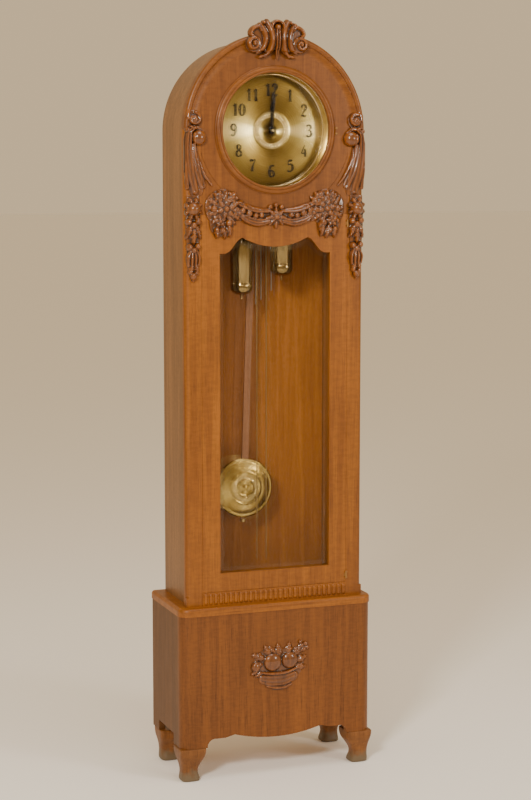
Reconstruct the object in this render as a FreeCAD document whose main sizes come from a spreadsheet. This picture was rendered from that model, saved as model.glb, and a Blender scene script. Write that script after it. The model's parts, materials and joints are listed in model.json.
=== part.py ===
"""Floor clock: an arched oak case with a glazed trunk door, a weight-driven movement and a long pendulum.

Millimetres. X runs to the right, Y to the back, Z up. The origin is on the floor, in the middle of the
overall box. A depth is measured forwards from the back plane of the base.
"""
import FreeCAD, Part
import math
import os
import re

SIZES = {
    # base
    "base_width": 548, "base_step": 25, "base_top": 469, "cap_thickness": 22, "cap_lip": 2,
    "cap_round": 9, "corner_radius": 30, "base_panel": 20, "base_side": 18, "base_floor_top": 165,
    "base_floor_thickness": 15, "base_back_thickness": 6, "side_bottom": 118, "apron_flat": 112.5,
    "apron_middle": 101, "apron_inner": 123, "apron_outer": 150, "foot_height": 90, "foot_width": 72,
    "foot_bulge": 4, "foot_ankle": 9, "fruit_relief": 15,
    # trunk and its arch
    "trunk_width": 500, "trunk_depth": 235, "trunk_back_gap": 11, "facade_thickness": 22,
    "facade_overhang": 12, "side_thickness": 16, "back_thickness": 8, "spring_height": 1717,
    "moulding_width": 37, "moulding_proud": 6.5, "field_groove": 1, "shell_thickness": 12, "stile_round": 15,
    "stile_stop": 25, "rail_height": 35.5,
    # trunk door
    "door_half_width": 204, "door_gap": 0.5, "door_top_drop": 217.5, "opening_half_width": 154.6,
    "door_rail": 49, "shoulder_drop": 101.5, "cusp_drop": 60.5, "opening_cusp_x": 90,
    "middle_drop": 84.5, "rebate_margin": 7.4, "rebate_depth": 12, "glass_thickness": 4.5,
    "hinge_radius": 2.5, "hinge_pin_radius": 1.1, "hinge_length": 9, "hinge_leaf": 5,
    "leaf_thickness": 0.8, "knuckle_length": 5, "bezel_hinge_length": 9, "low_hinge_rise": 15,
    "high_hinge_drop": 29.5, "carving_relief": 20,
    # dial
    "dial_opening": 150, "bezel_inner": 147.7, "bezel_outer": 166.5,
    "bezel_thickness": 11, "dial_depth": 203, "dial_thickness": 2, "dial_radius": 158, "dial_hole": 8,
    "numeral_radius": 105, "numeral_tall": 29, "ornament_radius": 48, "ornament_width": 8,
    "minute_hand_length": 134, "hour_hand_length": 92,
    # movement
    "plate_half_width": 62, "seat_drop": 137, "plate_height": 258, "plate_thickness": 3,
    "front_plate_depth": 168, "back_plate_depth": 97, "pillar_radius": 5, "pillar_x": 45, 
    "seat_thickness": 20, "seat_front": 190, "seat_rear": 60, "arbor_radius": 3, "pivot_radius": 1.5,
    "running_gap": 0.05,
    "sprocket_drop": 82, "sprocket_pitch_radius": 21.75, "sprocket_half_gap": 35.25,
    "chain_depth": 130, "chain_radius": 2.2, "third_drop_x": 27, "anchor_rise": 95,
    "wheel_module": 1, "third_module": 0.9, "centre_wheel_depth": 148, "third_wheel_depth": 133,
    "wheel_thickness": 3, "pinion_overhang": 3, "escape_wheel_depth": 116, "escape_wheel_thickness": 2.5,
    "escape_radius": 22,
    # pendulum, weights, gong
    "pendulum_depth": 83, "pendulum_tilt": 1.85, "rod_width": 18, "rod_thickness": 7, "bob_radius": 82,
    "bob_thickness": 30, "bob_drop": 1059, "rod_drop": 1150, "weight_radius": 30.5,
    "weight_top_drop": 181, "left_weight_length": 250, "right_weight_length": 201, "loose_chain_rise": 91,
    "gong_depth": 45, "gong_radius": 2, "gong_spacing": 15, "gong_length": 245, "gong_block_drop": 232,
}

doc = FreeCAD.newDocument("FloorClock")
sheet = doc.addObject("Spreadsheet::Sheet", "Sizes")
for row, (alias, value) in enumerate(SIZES.items(), start=1):
    sheet.set("A%d" % row, alias)
    sheet.set("B%d" % row, str(value))
    sheet.setAlias("B%d" % row, alias)
doc.recompute()


def size(alias):
    """A size as it stands in the sheet."""
    return float(sheet.get(alias))


WORDS = re.compile(r"\b(%s)\b" % "|".join(SIZES))
BACK = "((trunk_depth + base_step + fruit_relief) / 2)"
OPENING_BOTTOM = "(base_top + rail_height + door_gap + door_rail)"
base_depth = size("trunk_depth") + size("base_step")
back_y = (base_depth + size("fruit_relief")) / 2
pieces = []


def bind(item, prop, rule):
    """Ties a property to sizes in the sheet; the rule names them plainly."""
    item.setExpression(prop, WORDS.sub(r"Sizes.\1", rule))


def place(item, x_rule, y_rule, z_rule):
    bind(item, "Placement.Base.x", x_rule)
    bind(item, "Placement.Base.y", y_rule)
    bind(item, "Placement.Base.z", z_rule)


def keep(item, label):
    """Marks a finished piece: its label is its file's name."""
    item.Label = label
    pieces.append(item)
    return item


def box(name, wide, deep, tall, x_rule, y_rule, z_rule):
    item = doc.addObject("Part::Box", name)
    bind(item, "Length", wide)
    bind(item, "Width", deep)
    bind(item, "Height", tall)
    place(item, x_rule, y_rule, z_rule)
    return item


def rod(name, radius, length, x_rule, y_rule, z_rule, along="z"):
    """A round bar; along y it runs towards the front."""
    item = doc.addObject("Part::Cylinder", name)
    bind(item, "Radius", radius)
    bind(item, "Height", length)
    if along == "y":
        item.Placement.Rotation = FreeCAD.Rotation(FreeCAD.Vector(1, 0, 0), 90)
    place(item, x_rule, y_rule, z_rule)
    return item


def cut(name, base, tool):
    item = doc.addObject("Part::Cut", name)
    item.Base = base
    item.Tool = tool
    return item


def fuse(name, items):
    item = doc.addObject("Part::MultiFuse", name)
    item.Shapes = items
    return item


def group(name, shapes):
    """One node of separate solids, or one solid, from shapes made with Part's own functions."""
    item = doc.addObject("Part::Feature", name)
    item.Shape = shapes[0] if len(shapes) == 1 else Part.makeCompound(shapes)
    return keep(item, name)


def depth_y(depth):
    """The Y of a plane that lies that far in front of the back plane."""
    return back_y - depth


def point(x, depth, z):
    return FreeCAD.Vector(x, depth_y(depth), z)


def slab(outline, rear, front):
    """A flat board: an outline of edges drawn at the rear depth, extruded to the front depth."""
    face = Part.Face(Part.Wire(outline))
    return face.extrude(FreeCAD.Vector(0, rear - front, 0))


def loop(points, depth):
    """Straight edges through (x, z) points, closed."""
    corners = [point(x, depth, z) for x, z in points]
    return Part.makePolygon(corners + corners[:1]).Edges


def plate(points, rear, front):
    return slab(loop(points, rear), rear, front)


def raised_plate(level, points, rear, front):
    """A plate whose heights are told from a level."""
    return plate([(x, level + z) for x, z in points], rear, front)


def disc(x, z, radius, rear, front):
    """A round bar or disc whose axis runs front to back."""
    return Part.makeCylinder(radius, front - rear, point(x, rear, z), FreeCAD.Vector(0, -1, 0))


def ring(x, z, outer, inner, rear, front):
    return disc(x, z, outer, rear, front).cut(disc(x, z, inner, rear, front))


def block(low_x, high_x, rear, front, low_z, high_z):
    corner = FreeCAD.Vector(low_x, depth_y(front), low_z)
    return Part.makeBox(high_x - low_x, front - rear, high_z - low_z, corner)


def dome(x, z, radius, seat, relief):
    """A ball sunk into a surface at the seat depth so that it stands proud by the relief."""
    ball = Part.makeSphere(radius, point(x, seat + relief - radius, z))
    return ball.common(block(x - radius, x + radius, seat, seat + relief, z - radius, z + radius))


# ---- base -------------------------------------------------------------------------------------------

half_base = size("base_width") / 2
body_half = half_base - size("cap_lip")
body_front = base_depth - size("cap_lip")
cap_bottom = size("base_top") - size("cap_thickness")
corner = size("corner_radius")
trunk_half = size("trunk_width") / 2
facade_rear = size("trunk_depth") - size("facade_thickness")
side_outer = trunk_half - size("facade_overhang")
side_inner = side_outer - size("side_thickness")
spring = size("spring_height")
door_top = spring - size("door_top_drop")
door_bottom = size("base_top") + size("rail_height") + size("door_gap")
opening_bottom = door_bottom + size("door_rail")
opening_shoulder = door_top - size("shoulder_drop")
opening_cusp = door_top - size("cusp_drop")
plate_bottom = spring - size("seat_drop")
plate_top = plate_bottom + size("plate_height")
sprocket_z = spring - size("sprocket_drop")
anchor_z = spring + size("anchor_rise")
weight_top = spring - size("weight_top_drop")
gong_block_bottom = spring - size("gong_block_drop")
hinge_lows = (door_bottom + size("low_hinge_rise"), door_top - size("high_hinge_drop"))


def make_base_front_panel():
    """A board with a scalloped lower edge: a quarter cove by each foot, a cusp and a long belly."""
    edge = body_half - corner
    foot_inner = body_half - size("foot_width")
    depth = body_front - size("base_panel")
    flat, cusp = size("apron_flat"), size("apron_flat") + 6.5
    outer, inner = size("apron_outer"), size("apron_inner")
    half = []
    for sign in (-1, 1):
        cove_top = point(sign * (outer + 27), depth, flat)
        foot = point(sign * foot_inner, depth, size("foot_height"))
        middle = point(sign * (foot_inner - 6), depth, flat - 6)
        half.append([
            Part.makeLine(point(sign * edge, depth, cap_bottom), point(sign * edge, depth, size("foot_height"))),
            Part.makeLine(point(sign * edge, depth, size("foot_height")), foot),
            Part.Arc(foot, middle, cove_top).toShape(),
            Part.makeLine(cove_top, point(sign * outer, depth, flat)),
            Part.makeLine(point(sign * outer, depth, flat), point(sign * inner, depth, cusp)),
        ])
    belly = Part.Arc(
        point(-inner, depth, cusp), point(0, depth, size("apron_middle")), point(inner, depth, cusp)
    ).toShape()
    top = Part.makeLine(point(-edge, depth, cap_bottom), point(edge, depth, cap_bottom))
    outline = Part.__sortEdges__(half[0] + [belly] + half[1] + [top])
    return slab(outline, depth, body_front)


def make_corner_post(sign):
    """A quarter-round post that turns the front corner of the base."""
    centre_x = sign * (body_half - corner)
    rear = body_front - corner
    square = block(min(centre_x, sign * body_half), max(centre_x, sign * body_half), rear, body_front,
                   size("foot_height"), cap_bottom)
    height = cap_bottom - size("foot_height")
    column = Part.makeCylinder(corner, height, point(centre_x, rear, size("foot_height")))
    return square.common(column)


def make_base_side(sign):
    """A side board whose lower edge is sawn up between its two feet."""
    inner, outer = body_half - size("base_side"), body_half
    low, high = min(sign * inner, sign * outer), max(sign * inner, sign * outer)
    board = block(low, high, 0, body_front - corner, size("foot_height"), cap_bottom)
    gap_rear, gap_front = size("foot_width") * 0.75, body_front - size("foot_width")
    return board.cut(block(low - 1, high + 1, gap_rear, gap_front, 0, size("side_bottom")))


def make_base_cap():
    """The cap board: round front corners, a rounded upper edge and a shaft for the weights."""
    plan = block(-half_base, half_base, 0, base_depth, cap_bottom, size("base_top"))
    round_plan = plan.makeFillet(corner, [
        e for e in plan.Edges
        if abs(e.Vertexes[0].Point.x - e.Vertexes[1].Point.x) < 1e-6
        and abs(e.Vertexes[0].Point.y - e.Vertexes[1].Point.y) < 1e-6
        and e.Vertexes[0].Point.y < 0
    ])
    top_edges = [
        e for e in round_plan.Edges
        if all(abs(v.Point.z - size("base_top")) < 1e-6 for v in e.Vertexes)
        and min(v.Point.y for v in e.Vertexes) < back_y - 1
    ]
    beaded = round_plan.makeFillet(size("cap_round"), top_edges)
    shaft = block(-side_inner + 8, side_inner - 8, 24, facade_rear - 8, cap_bottom - 1, size("base_top") + 1)
    return beaded.cut(shaft)


def make_foot(sign, front_depth, bulge):
    """A square foot: a cushion under the case, a narrow ankle and a block on the floor."""
    width, ankle = size("foot_width"), size("foot_ankle")
    centre_x = sign * (body_half - width / 2)
    centre_depth = front_depth - width / 2
    tall = size("foot_height")
    levels = [(0, -ankle + 3), (26, -ankle + 1), (tall * 0.45, -ankle), (tall * 0.62, -ankle + 3),
              (tall * 0.84, bulge), (tall * 0.95, bulge), (tall, 0)]
    wires = []
    for height, grow in levels:
        half = width / 2 + grow
        square = Part.makePlane(2 * half, 2 * half, FreeCAD.Vector(centre_x - half,
                                depth_y(centre_depth) - half, height))
        wires.append(square.OuterWire)
    return Part.makeLoft(wires, True, True)


group("base_front_panel", [make_base_front_panel()])
group("base_corner_posts", [make_corner_post(-1), make_corner_post(1)])
group("base_sides", [make_base_side(-1), make_base_side(1)])
group("base_cap", [make_base_cap()])
keep(box("base_back", "base_width - 2 * cap_lip - 2 * base_side", "base_back_thickness",
         "base_top - cap_thickness - base_floor_top + base_floor_thickness",
         "-(base_width / 2 - cap_lip - base_side)", BACK + " - base_back_thickness",
         "base_floor_top - base_floor_thickness"), "base_back")
keep(box("base_floor", "base_width - 2 * cap_lip - 2 * base_side",
         "trunk_depth + base_step - cap_lip - base_panel - corner_radius / 2 - base_back_thickness",
         "base_floor_thickness",
         "-(base_width / 2 - cap_lip - base_side)",
         BACK + " - (trunk_depth + base_step - cap_lip - base_panel - corner_radius / 2)",
         "base_floor_top - base_floor_thickness"), "base_floor")
foot_front = body_front
group("front_feet", [make_foot(s, foot_front, size("foot_bulge")) for s in (-1, 1)])
group("rear_feet", [make_foot(s, size("foot_width") + 1, 0) for s in (-1, 1)])

# ---- trunk, arch and the fixed front ----------------------------------------------------------------

facade_front = size("trunk_depth")
trunk_rear = size("trunk_back_gap")
door_half = size("door_half_width")
stile_inner = door_half + size("door_gap")
arch_inner = trunk_half - size("moulding_width")


def half_disc(radius, rear, front):
    """The upper half of a disc about the centre of the arch."""
    start, end = point(-radius, rear, spring), point(radius, rear, spring)
    top = point(0, rear, spring + radius)
    return slab([Part.Arc(start, top, end).toShape(), Part.makeLine(end, start)], rear, front)


def make_stile(sign):
    """A front stile with a rounded outer edge that ends in a square stop above the base."""
    low, high = min(sign * stile_inner, sign * trunk_half), max(sign * stile_inner, sign * trunk_half)
    stop = size("base_top") + size("stile_stop")
    foot = block(low, high, facade_rear, facade_front, size("base_top"), stop)
    shaft = block(low, high, facade_rear, facade_front, stop, spring)
    outer_front = [
        e for e in shaft.Edges
        if all(abs(v.Point.x - sign * trunk_half) < 1e-6 for v in e.Vertexes)
        and all(abs(v.Point.y - depth_y(facade_front)) < 1e-6 for v in e.Vertexes)
    ]
    return foot.fuse(shaft.makeFillet(size("stile_round"), outer_front)).removeSplitter()


def make_dial_board():
    """The board behind the dial: square shoulders below, a half round above and the dial's opening."""
    low = door_top + size("door_gap")
    square = block(-stile_inner, stile_inner, facade_rear, facade_front, low, spring)
    board = square.fuse(half_disc(arch_inner, facade_rear, facade_front)).removeSplitter()
    board = board.cut(disc(0, spring, size("dial_opening"), facade_rear - 1, facade_front + 1))
    floor = facade_front - size("field_groove")
    line = ring(0, spring, arch_inner + 1, arch_inner - 1, floor, facade_front + 1)
    return board.cut(line.common(block(-arch_inner - 2, arch_inner + 2, facade_rear, facade_front + 2,
                                       spring - arch_inner - 2, spring)))


def revolved(parts, centre_z, angle):
    """A ring about an axis that runs front to back: parts are (radius, depth) pairs, or three for an arc."""
    edges = []
    for part in parts:
        ends = [point(radius, depth, centre_z) for radius, depth in part]
        edges.append(Part.Arc(*ends).toShape() if len(part) == 3 else Part.makeLine(*ends))
    face = Part.Face(Part.Wire(edges))
    return face.revolve(point(0, 0, centre_z), FreeCAD.Vector(0, -1, 0), angle)


def make_arch_moulding():
    """A half ring: a long cove, a groove and a round bead along the arch's edge."""
    inner, outer, front = arch_inner, trunk_half, facade_front
    proud = size("moulding_proud")
    groove_in, groove_out = outer - 18, outer - 15
    return revolved([
        ((inner, facade_rear), (inner, front)),
        ((inner, front), ((inner + groove_in) / 2, front + 0.6), (groove_in, front + proud * 0.5)),
        ((groove_in, front + proud * 0.5), (groove_in + 1.5, front + proud * 0.2),
         (groove_out, front + proud * 0.5)),
        ((groove_out, front + proud * 0.5), (outer - 7, front + proud), (outer, front - 2)),
        ((outer, front - 2), (outer, facade_rear)),
        ((outer, facade_rear), (inner, facade_rear)),
    ], spring, 180)


def make_scroll(sign):
    """A volute ball, a lower ball and the fluted drape that fans out below them."""
    seat, relief = facade_front, size("carving_relief")
    drape = [(205, -25), (243, -25), (250, -117), (246, -154), (158, -154), (176, -127), (192, -87)]
    neck = [(212, -17), (236, -17), (238, 23), (216, 23)]
    body = raised_plate(spring, [(sign * x, z) for x, z in drape], seat, seat + relief * 0.6)
    parts = [
        raised_plate(spring, [(sign * x, z) for x, z in neck], seat, seat + relief * 0.5),
        dome(sign * 215, spring - 22, 21, seat, relief),
        dome(sign * 223, spring + 21, 18, seat, relief),
    ]
    return body.multiFuse(parts).cut(make_arch_moulding())


def make_festoon(sign):
    """A hanging spray of bellflowers below a large ball, on a front stile."""
    seat, relief = facade_front, size("carving_relief")
    outline = [(211, -157), (248, -157), (248, -317), (236, -393), (222, -393), (211, -317)]
    spray = raised_plate(spring, [(sign * x, z) for x, z in outline], seat, seat + relief * 0.6)
    return spray.fuse(dome(sign * 229, spring - 199, 20, seat, relief))


def make_crest():
    """The carved shell between two volutes at the top of the arch, backed where it stands above it."""
    rear = facade_front + size("moulding_proud")
    outline = [(-88, 213), (-70, 197), (-24, 189), (0, 180), (24, 189), (70, 197), (88, 213),
               (86, 231), (68, 249), (44, 265), (22, 273), (0, 283), (-22, 273), (-44, 265),
               (-68, 249), (-86, 231)]
    shell = raised_plate(spring, outline, rear, rear + size("carving_relief") * 0.7)
    return shell.cut(make_arch_moulding())


def make_fruit():
    """A basket with two large fruits, a small one and leaves, in low relief on the base."""
    seat, relief, top = body_front, size("fruit_relief") + size("cap_lip"), size("base_top")
    spray = [(-72, -169), (-50, -121), (20, -117), (78, -103), (86, -169), (60, -199), (-40, -207)]
    hull = [(-45, -191), (46, -185), (34, -223), (-6, -231), (-38, -223)]
    leaves = raised_plate(top, spray, seat, seat + relief * 0.35)
    parts = [
        raised_plate(top, hull, seat, seat + relief * 0.45),
        dome(-17.6, top - 160, 24, seat, relief),
        dome(31, top - 158, 22, seat, relief * 0.95),
        dome(-66, top - 173, 13, seat, relief * 0.6),
    ]
    return leaves.multiFuse(parts)


def make_sides():
    """Two side boards from the base to the spring of the arch."""
    return [
        block(min(s * side_inner, s * side_outer), max(s * side_inner, s * side_outer),
              trunk_rear, facade_rear, size("base_top"), spring)
        for s in (-1, 1)
    ]


def make_trunk_back():
    """The thin back board with its arched top."""
    rear, front = trunk_rear, trunk_rear + size("back_thickness")
    square = block(-side_inner, side_inner, rear, front, size("base_top"), spring)
    return square.fuse(half_disc(side_outer - size("shell_thickness"), rear, front)).removeSplitter()


def make_arch_shell():
    """The bent shell that closes the top of the case behind the front."""
    inner = side_outer - size("shell_thickness")
    return half_disc(side_outer, trunk_rear, facade_rear).cut(half_disc(inner, trunk_rear - 1, facade_rear + 1))


sides = make_sides()
group("trunk_side_left", [sides[0]])
group("trunk_side_right", [sides[1]])
group("trunk_back", [make_trunk_back()])
group("arch_shell", [make_arch_shell()])
group("front_stiles", [make_stile(-1), make_stile(1)])
keep(box("reeded_rail", "2 * (door_half_width + door_gap)", "facade_thickness + 2", "rail_height",
         "-(door_half_width + door_gap)", BACK + " - trunk_depth - 2", "base_top"), "reeded_rail")
group("dial_board", [make_dial_board()])
group("arch_moulding", [make_arch_moulding()])
group("scroll_carvings", [make_scroll(-1), make_scroll(1)])
group("festoon_carvings", [make_festoon(-1), make_festoon(1)])
group("shell_crest", [make_crest()])
group("fruit_carving", [make_fruit()])

# ---- trunk door -------------------------------------------------------------------------------------

opening_half = size("opening_half_width")
hinge_depth = facade_front + size("hinge_radius")
hinge_x = door_half + size("door_gap") / 2


def make_door_frame():
    """The door: a shaped opening whose top dips in the middle, and a rebate for the glass behind."""
    rear, front = facade_rear, facade_front
    board = block(-door_half, door_half, rear, front, door_bottom, door_top)
    shoulder, cusp_x, cusp = opening_shoulder, size("opening_cusp_x"), opening_cusp
    edges = [
        Part.makeLine(point(-opening_half, rear, shoulder), point(-opening_half, rear, opening_bottom)),
        Part.makeLine(point(-opening_half, rear, opening_bottom),
                      point(opening_half, rear, opening_bottom)),
        Part.makeLine(point(opening_half, rear, opening_bottom), point(opening_half, rear, shoulder)),
    ]
    rise = cusp - shoulder
    span = opening_half - 8 - cusp_x
    for sign in (1, -1):
        flat_end = point(sign * (opening_half - 8), rear, shoulder)
        ogee = Part.BSplineCurve()
        ogee.interpolate([flat_end, point(sign * (cusp_x + 0.62 * span), rear, shoulder + 0.2 * rise),
                          point(sign * (cusp_x + 0.32 * span), rear, shoulder + 0.72 * rise),
                          point(sign * cusp_x, rear, cusp)])
        edges.append(Part.makeLine(point(sign * opening_half, rear, shoulder), flat_end))
        edges.append(ogee.toShape())
    edges.append(Part.Arc(point(-cusp_x, rear, cusp), point(0, rear, door_top - size("middle_drop")),
                          point(cusp_x, rear, cusp)).toShape())
    opening = slab(Part.__sortEdges__(edges), rear, front)
    margin = size("rebate_margin")
    rebate = block(-opening_half - margin, opening_half + margin, rear, rear + size("rebate_depth"),
                   opening_bottom - margin, cusp + margin)
    frame = board.cut(opening).cut(rebate)
    return frame


def hinge_round(radius, low, length):
    return Part.makeCylinder(radius, length, point(hinge_x, hinge_depth, low))


def hinge_barrels():
    """The door's two hinge barrels, each with a bore for its pin and a leaf let into the door's edge."""
    found = []
    for low in hinge_lows:
        barrel = hinge_round(size("hinge_radius"), low, size("hinge_length"))
        leaf = block(hinge_x - size("hinge_leaf"), hinge_x, facade_front,
                     facade_front + size("leaf_thickness"), low, low + size("hinge_length"))
        bore = hinge_round(size("hinge_pin_radius") + size("running_gap"), low - 1, size("hinge_length") + 2)
        found.append(barrel.fuse(leaf).cut(bore).removeSplitter())
    return found


def hinge_pin(x, low, length, leaf_sign):
    """A pin with a knuckle at each end, and a leaf from each knuckle onto the fixed front."""
    radius, reach, thick = size("hinge_pin_radius"), size("hinge_leaf"), size("leaf_thickness")
    knuckle = size("knuckle_length")
    pin = Part.makeCylinder(radius, length + 2 * knuckle, point(x, hinge_depth, low - knuckle))
    for end in (low - knuckle, low + length + 0.5):
        pin = pin.fuse(Part.makeCylinder(size("hinge_radius"), knuckle - 0.5, point(x, hinge_depth, end)))
        pin = pin.fuse(block(min(x, x + leaf_sign * reach), max(x, x + leaf_sign * reach), facade_front,
                             facade_front + thick, end, end + knuckle - 0.5))
    return pin.removeSplitter()


def make_hinge_pins():
    """Two pins for the trunk door and one for the dial's ring."""
    found = [
        hinge_pin(hinge_x, low, size("hinge_length"), 1)
        for low in hinge_lows
    ]
    half = size("bezel_hinge_length") / 2
    return found + [hinge_pin(bezel_hinge_x, spring - half, 2 * half, 1)]


def make_garland():
    """Two rosettes joined by a swag with a knot in the middle, across the top of the door."""
    seat, relief = facade_front, size("carving_relief")
    stretch = size("door_half_width") / GARLAND_DOOR

    def carved(corners, sign, share):
        outline = [(sign * stretch * x, z) for x, z in corners]
        return raised_plate(spring, outline, seat, seat + relief * share)

    swag = [(-100, -227), (-40, -239), (40, -239), (100, -227), (100, -189), (40, -197), (-40, -197),
            (-100, -189)]
    leaves = [(90, -217), (98, -175), (128, -157), (166, -157), (184, -177), (190, -217), (176, -247),
              (166, -277), (150, -283), (132, -277), (122, -242), (98, -237)]
    drop = [(126, -217), (164, -217), (158, -267), (134, -273)]
    parts = [dome(0, spring - 225, 26, seat, relief * 0.8)]
    for sign in (-1, 1):
        parts.append(carved(leaves, sign, 0.4))
        parts.append(dome(sign * stretch * 145, spring - 205, 36, seat, relief))
        parts.append(carved(drop, sign, 0.6))
    return carved(swag, 1, 0.45).multiFuse(parts)


GARLAND_DOOR = 204      # the garland is drawn for a door this wide on each side of its middle
bezel_hinge_x = size("bezel_outer") + size("hinge_radius") + 0.5
group("door_frame", [make_door_frame()])
keep(box("door_glass", "2 * (opening_half_width + rebate_margin - 0.2)", "glass_thickness",
         "spring_height - door_top_drop - cusp_drop - " + OPENING_BOTTOM + " + 2 * rebate_margin - 0.4",
         "-(opening_half_width + rebate_margin - 0.2)",
         BACK + " - (trunk_depth - facade_thickness + rebate_depth)",
         OPENING_BOTTOM + " - rebate_margin + 0.2"), "door_glass")
group("door_garland", [make_garland()])
group("door_hinge_barrels", hinge_barrels())
group("hinge_pins", make_hinge_pins())

# ---- dial and its hinged ring -----------------------------------------------------------------------

dial_z = spring
dial_front = size("dial_depth") + size("dial_thickness")


def make_bezel_ring():
    """The turned wooden ring round the dial: a bead by the glass, a swell, a rebate and a hinge barrel."""
    rear = facade_front + 0.3
    front = rear + size("bezel_thickness")
    inner, outer = size("bezel_inner"), size("bezel_outer")
    seat, rebate = rear + 4, inner + 5
    body = revolved([
        ((rebate, rear), (rebate, seat)),
        ((rebate, seat), (inner, seat)),
        ((inner, seat), (inner, front - 3)),
        ((inner, front - 3), (inner + 3.4, front), (inner + 6.8, front - 3)),
        ((inner + 6.8, front - 3), (outer - 5, front - 3.2), (outer - 1.5, rear + 3.5)),
        ((outer - 1.5, rear + 3.5), (outer, rear + 2.5)),
        ((outer, rear + 2.5), (outer, rear)),
        ((outer, rear), (rebate, rear)),
    ], dial_z, 360)
    half = size("bezel_hinge_length") / 2
    foot = point(bezel_hinge_x, hinge_depth, dial_z - half)
    barrel = Part.makeCylinder(size("hinge_radius"), 2 * half, foot)
    lug = block(outer - 3, bezel_hinge_x, rear + 0.5, rear + 2.2, dial_z - half, dial_z + half)
    bore = Part.makeCylinder(size("hinge_pin_radius") + size("running_gap"), 2 * half + 2,
                             point(bezel_hinge_x, hinge_depth, dial_z - half - 1))
    return body.multiFuse([barrel, lug]).cut(bore).removeSplitter()


def make_numerals():
    """A raised block at each hour."""
    found = []
    for hour in range(1, 13):
        turn = math.radians(30 * hour)
        x, z = size("numeral_radius") * math.sin(turn), dial_z + size("numeral_radius") * math.cos(turn)
        wide, tall = (20 if hour >= 10 else 14), size("numeral_tall")
        found.append(block(x - wide / 2, x + wide / 2, dial_front, dial_front + 1, z - tall / 2, z + tall / 2))
    return found


def make_hand(length, width, hub, bore, rear, front, turn):
    """A slender hand with a round hub, turned clockwise from twelve by some degrees."""
    blade = plate([(-width / 2, dial_z), (-width / 2, dial_z + length * 0.3), (-width, dial_z + length * 0.6),
                   (0, dial_z + length), (width, dial_z + length * 0.6), (width / 2, dial_z + length * 0.3),
                   (width / 2, dial_z)], rear, front)
    hand = blade.fuse(disc(0, dial_z, hub, rear, front))
    if bore:
        hand = hand.cut(disc(0, dial_z, bore, rear - 1, front + 1))
    return hand.rotated(point(0, rear, dial_z), FreeCAD.Vector(0, 1, 0), turn)


group("bezel_ring", [make_bezel_ring()])
bezel_rear = facade_front + 0.3
group("bezel_glass", [disc(0, dial_z, size("bezel_inner") + 4.8, bezel_rear + 1, bezel_rear + 4)])
group("dial_plate", [ring(0, dial_z, size("dial_radius"), size("dial_hole"), size("dial_depth"), dial_front)])
group("dial_numerals", make_numerals())
ornament = size("ornament_radius")
group("dial_ornament", [ring(0, dial_z, ornament, ornament - size("ornament_width"), dial_front,
                             dial_front + 1.5)])

# ---- movement ---------------------------------------------------------------------------------------

front_plate, back_plate = size("front_plate_depth"), size("back_plate_depth")
plate_thick = size("plate_thickness")
module, third_module = size("wheel_module"), size("third_module")
CENTRE_TEETH, THIRD_TEETH, SMALL_TEETH, ESCAPE_TEETH = 80, 75, 10, 30
CANNON_TEETH, MINUTE_TEETH, MINUTE_SMALL, HOUR_TEETH = 14, 42, 12, 48
centre_distance = module * (CENTRE_TEETH + SMALL_TEETH) / 2
third_distance = third_module * (THIRD_TEETH + SMALL_TEETH) / 2
motion_distance = module * (CANNON_TEETH + MINUTE_TEETH) / 2
hour_module = 2 * motion_distance / (MINUTE_SMALL + HOUR_TEETH)
third_x = -size("third_drop_x")
third_z = dial_z + math.sqrt(centre_distance ** 2 - third_x ** 2)
escape_z = third_z + math.sqrt(third_distance ** 2 - third_x ** 2)
minute_x = -motion_distance


def gear(x, z, teeth, unit, rear, front, bore, facing, has_tooth):
    """A spur wheel with slack teeth. A tooth, or a gap, points along the facing angle in the X-Z plane."""
    pitch_radius = unit * teeth / 2
    step = 2 * math.pi / teeth
    start = math.radians(facing) + (0 if has_tooth else step / 2)
    corners = []
    for tooth in range(teeth):
        middle = start + tooth * step
        for share, radius in ((-0.24, pitch_radius - unit), (-0.1, pitch_radius + 0.7 * unit),
                              (0.1, pitch_radius + 0.7 * unit), (0.24, pitch_radius - unit)):
            angle = middle + share * step
            corners.append((x + radius * math.cos(angle), z + radius * math.sin(angle)))
    wheel = plate(corners, rear, front)
    if pitch_radius > 15:
        for spoke in range(5):
            angle = 2 * math.pi * spoke / 5
            middle = pitch_radius * 0.56
            wheel = wheel.cut(disc(x + middle * math.cos(angle), z + middle * math.sin(angle),
                                   pitch_radius * 0.24, rear - 1, front + 1))
    if bore:
        wheel = wheel.cut(disc(x, z, bore, rear - 1, front + 1))
    return wheel


def bearing_holes():
    """Where an arbor runs in the plates: x, z, radius, in the front plate, in the back plate."""
    arbor, pivot = size("arbor_radius"), size("pivot_radius") + 0.5
    half_gap, low = size("sprocket_half_gap"), sprocket_z
    return [
        (0, dial_z, arbor, True, True), (third_x, third_z, pivot, True, True),
        (0, escape_z, pivot, True, True), (0, anchor_z, pivot, True, True),
        (minute_x, dial_z, pivot, True, False),
        (-half_gap, low, arbor, True, True), (half_gap, low, arbor, True, True),
    ]


def make_movement_plates():
    """The front and back plates, bored for the arbors."""
    half = size("plate_half_width")
    found = []
    for rear, index in ((front_plate, 3), (back_plate, 4)):
        whole = block(-half, half, rear, rear + plate_thick, plate_bottom, plate_top)
        for hole in bearing_holes():
            if hole[index]:
                whole = whole.cut(disc(hole[0], hole[1], hole[2] + size("running_gap"), rear - 1,
                                       rear + plate_thick + 1))
        found.append(whole)
    return found


def make_pillars():
    """Four turned pillars between the plates."""
    x = size("pillar_x")
    low, high = plate_bottom + 9, plate_top - 9
    return [disc(sx * x, z, size("pillar_radius"), back_plate + plate_thick, front_plate)
            for sx in (-1, 1) for z in (low, high)]


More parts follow.
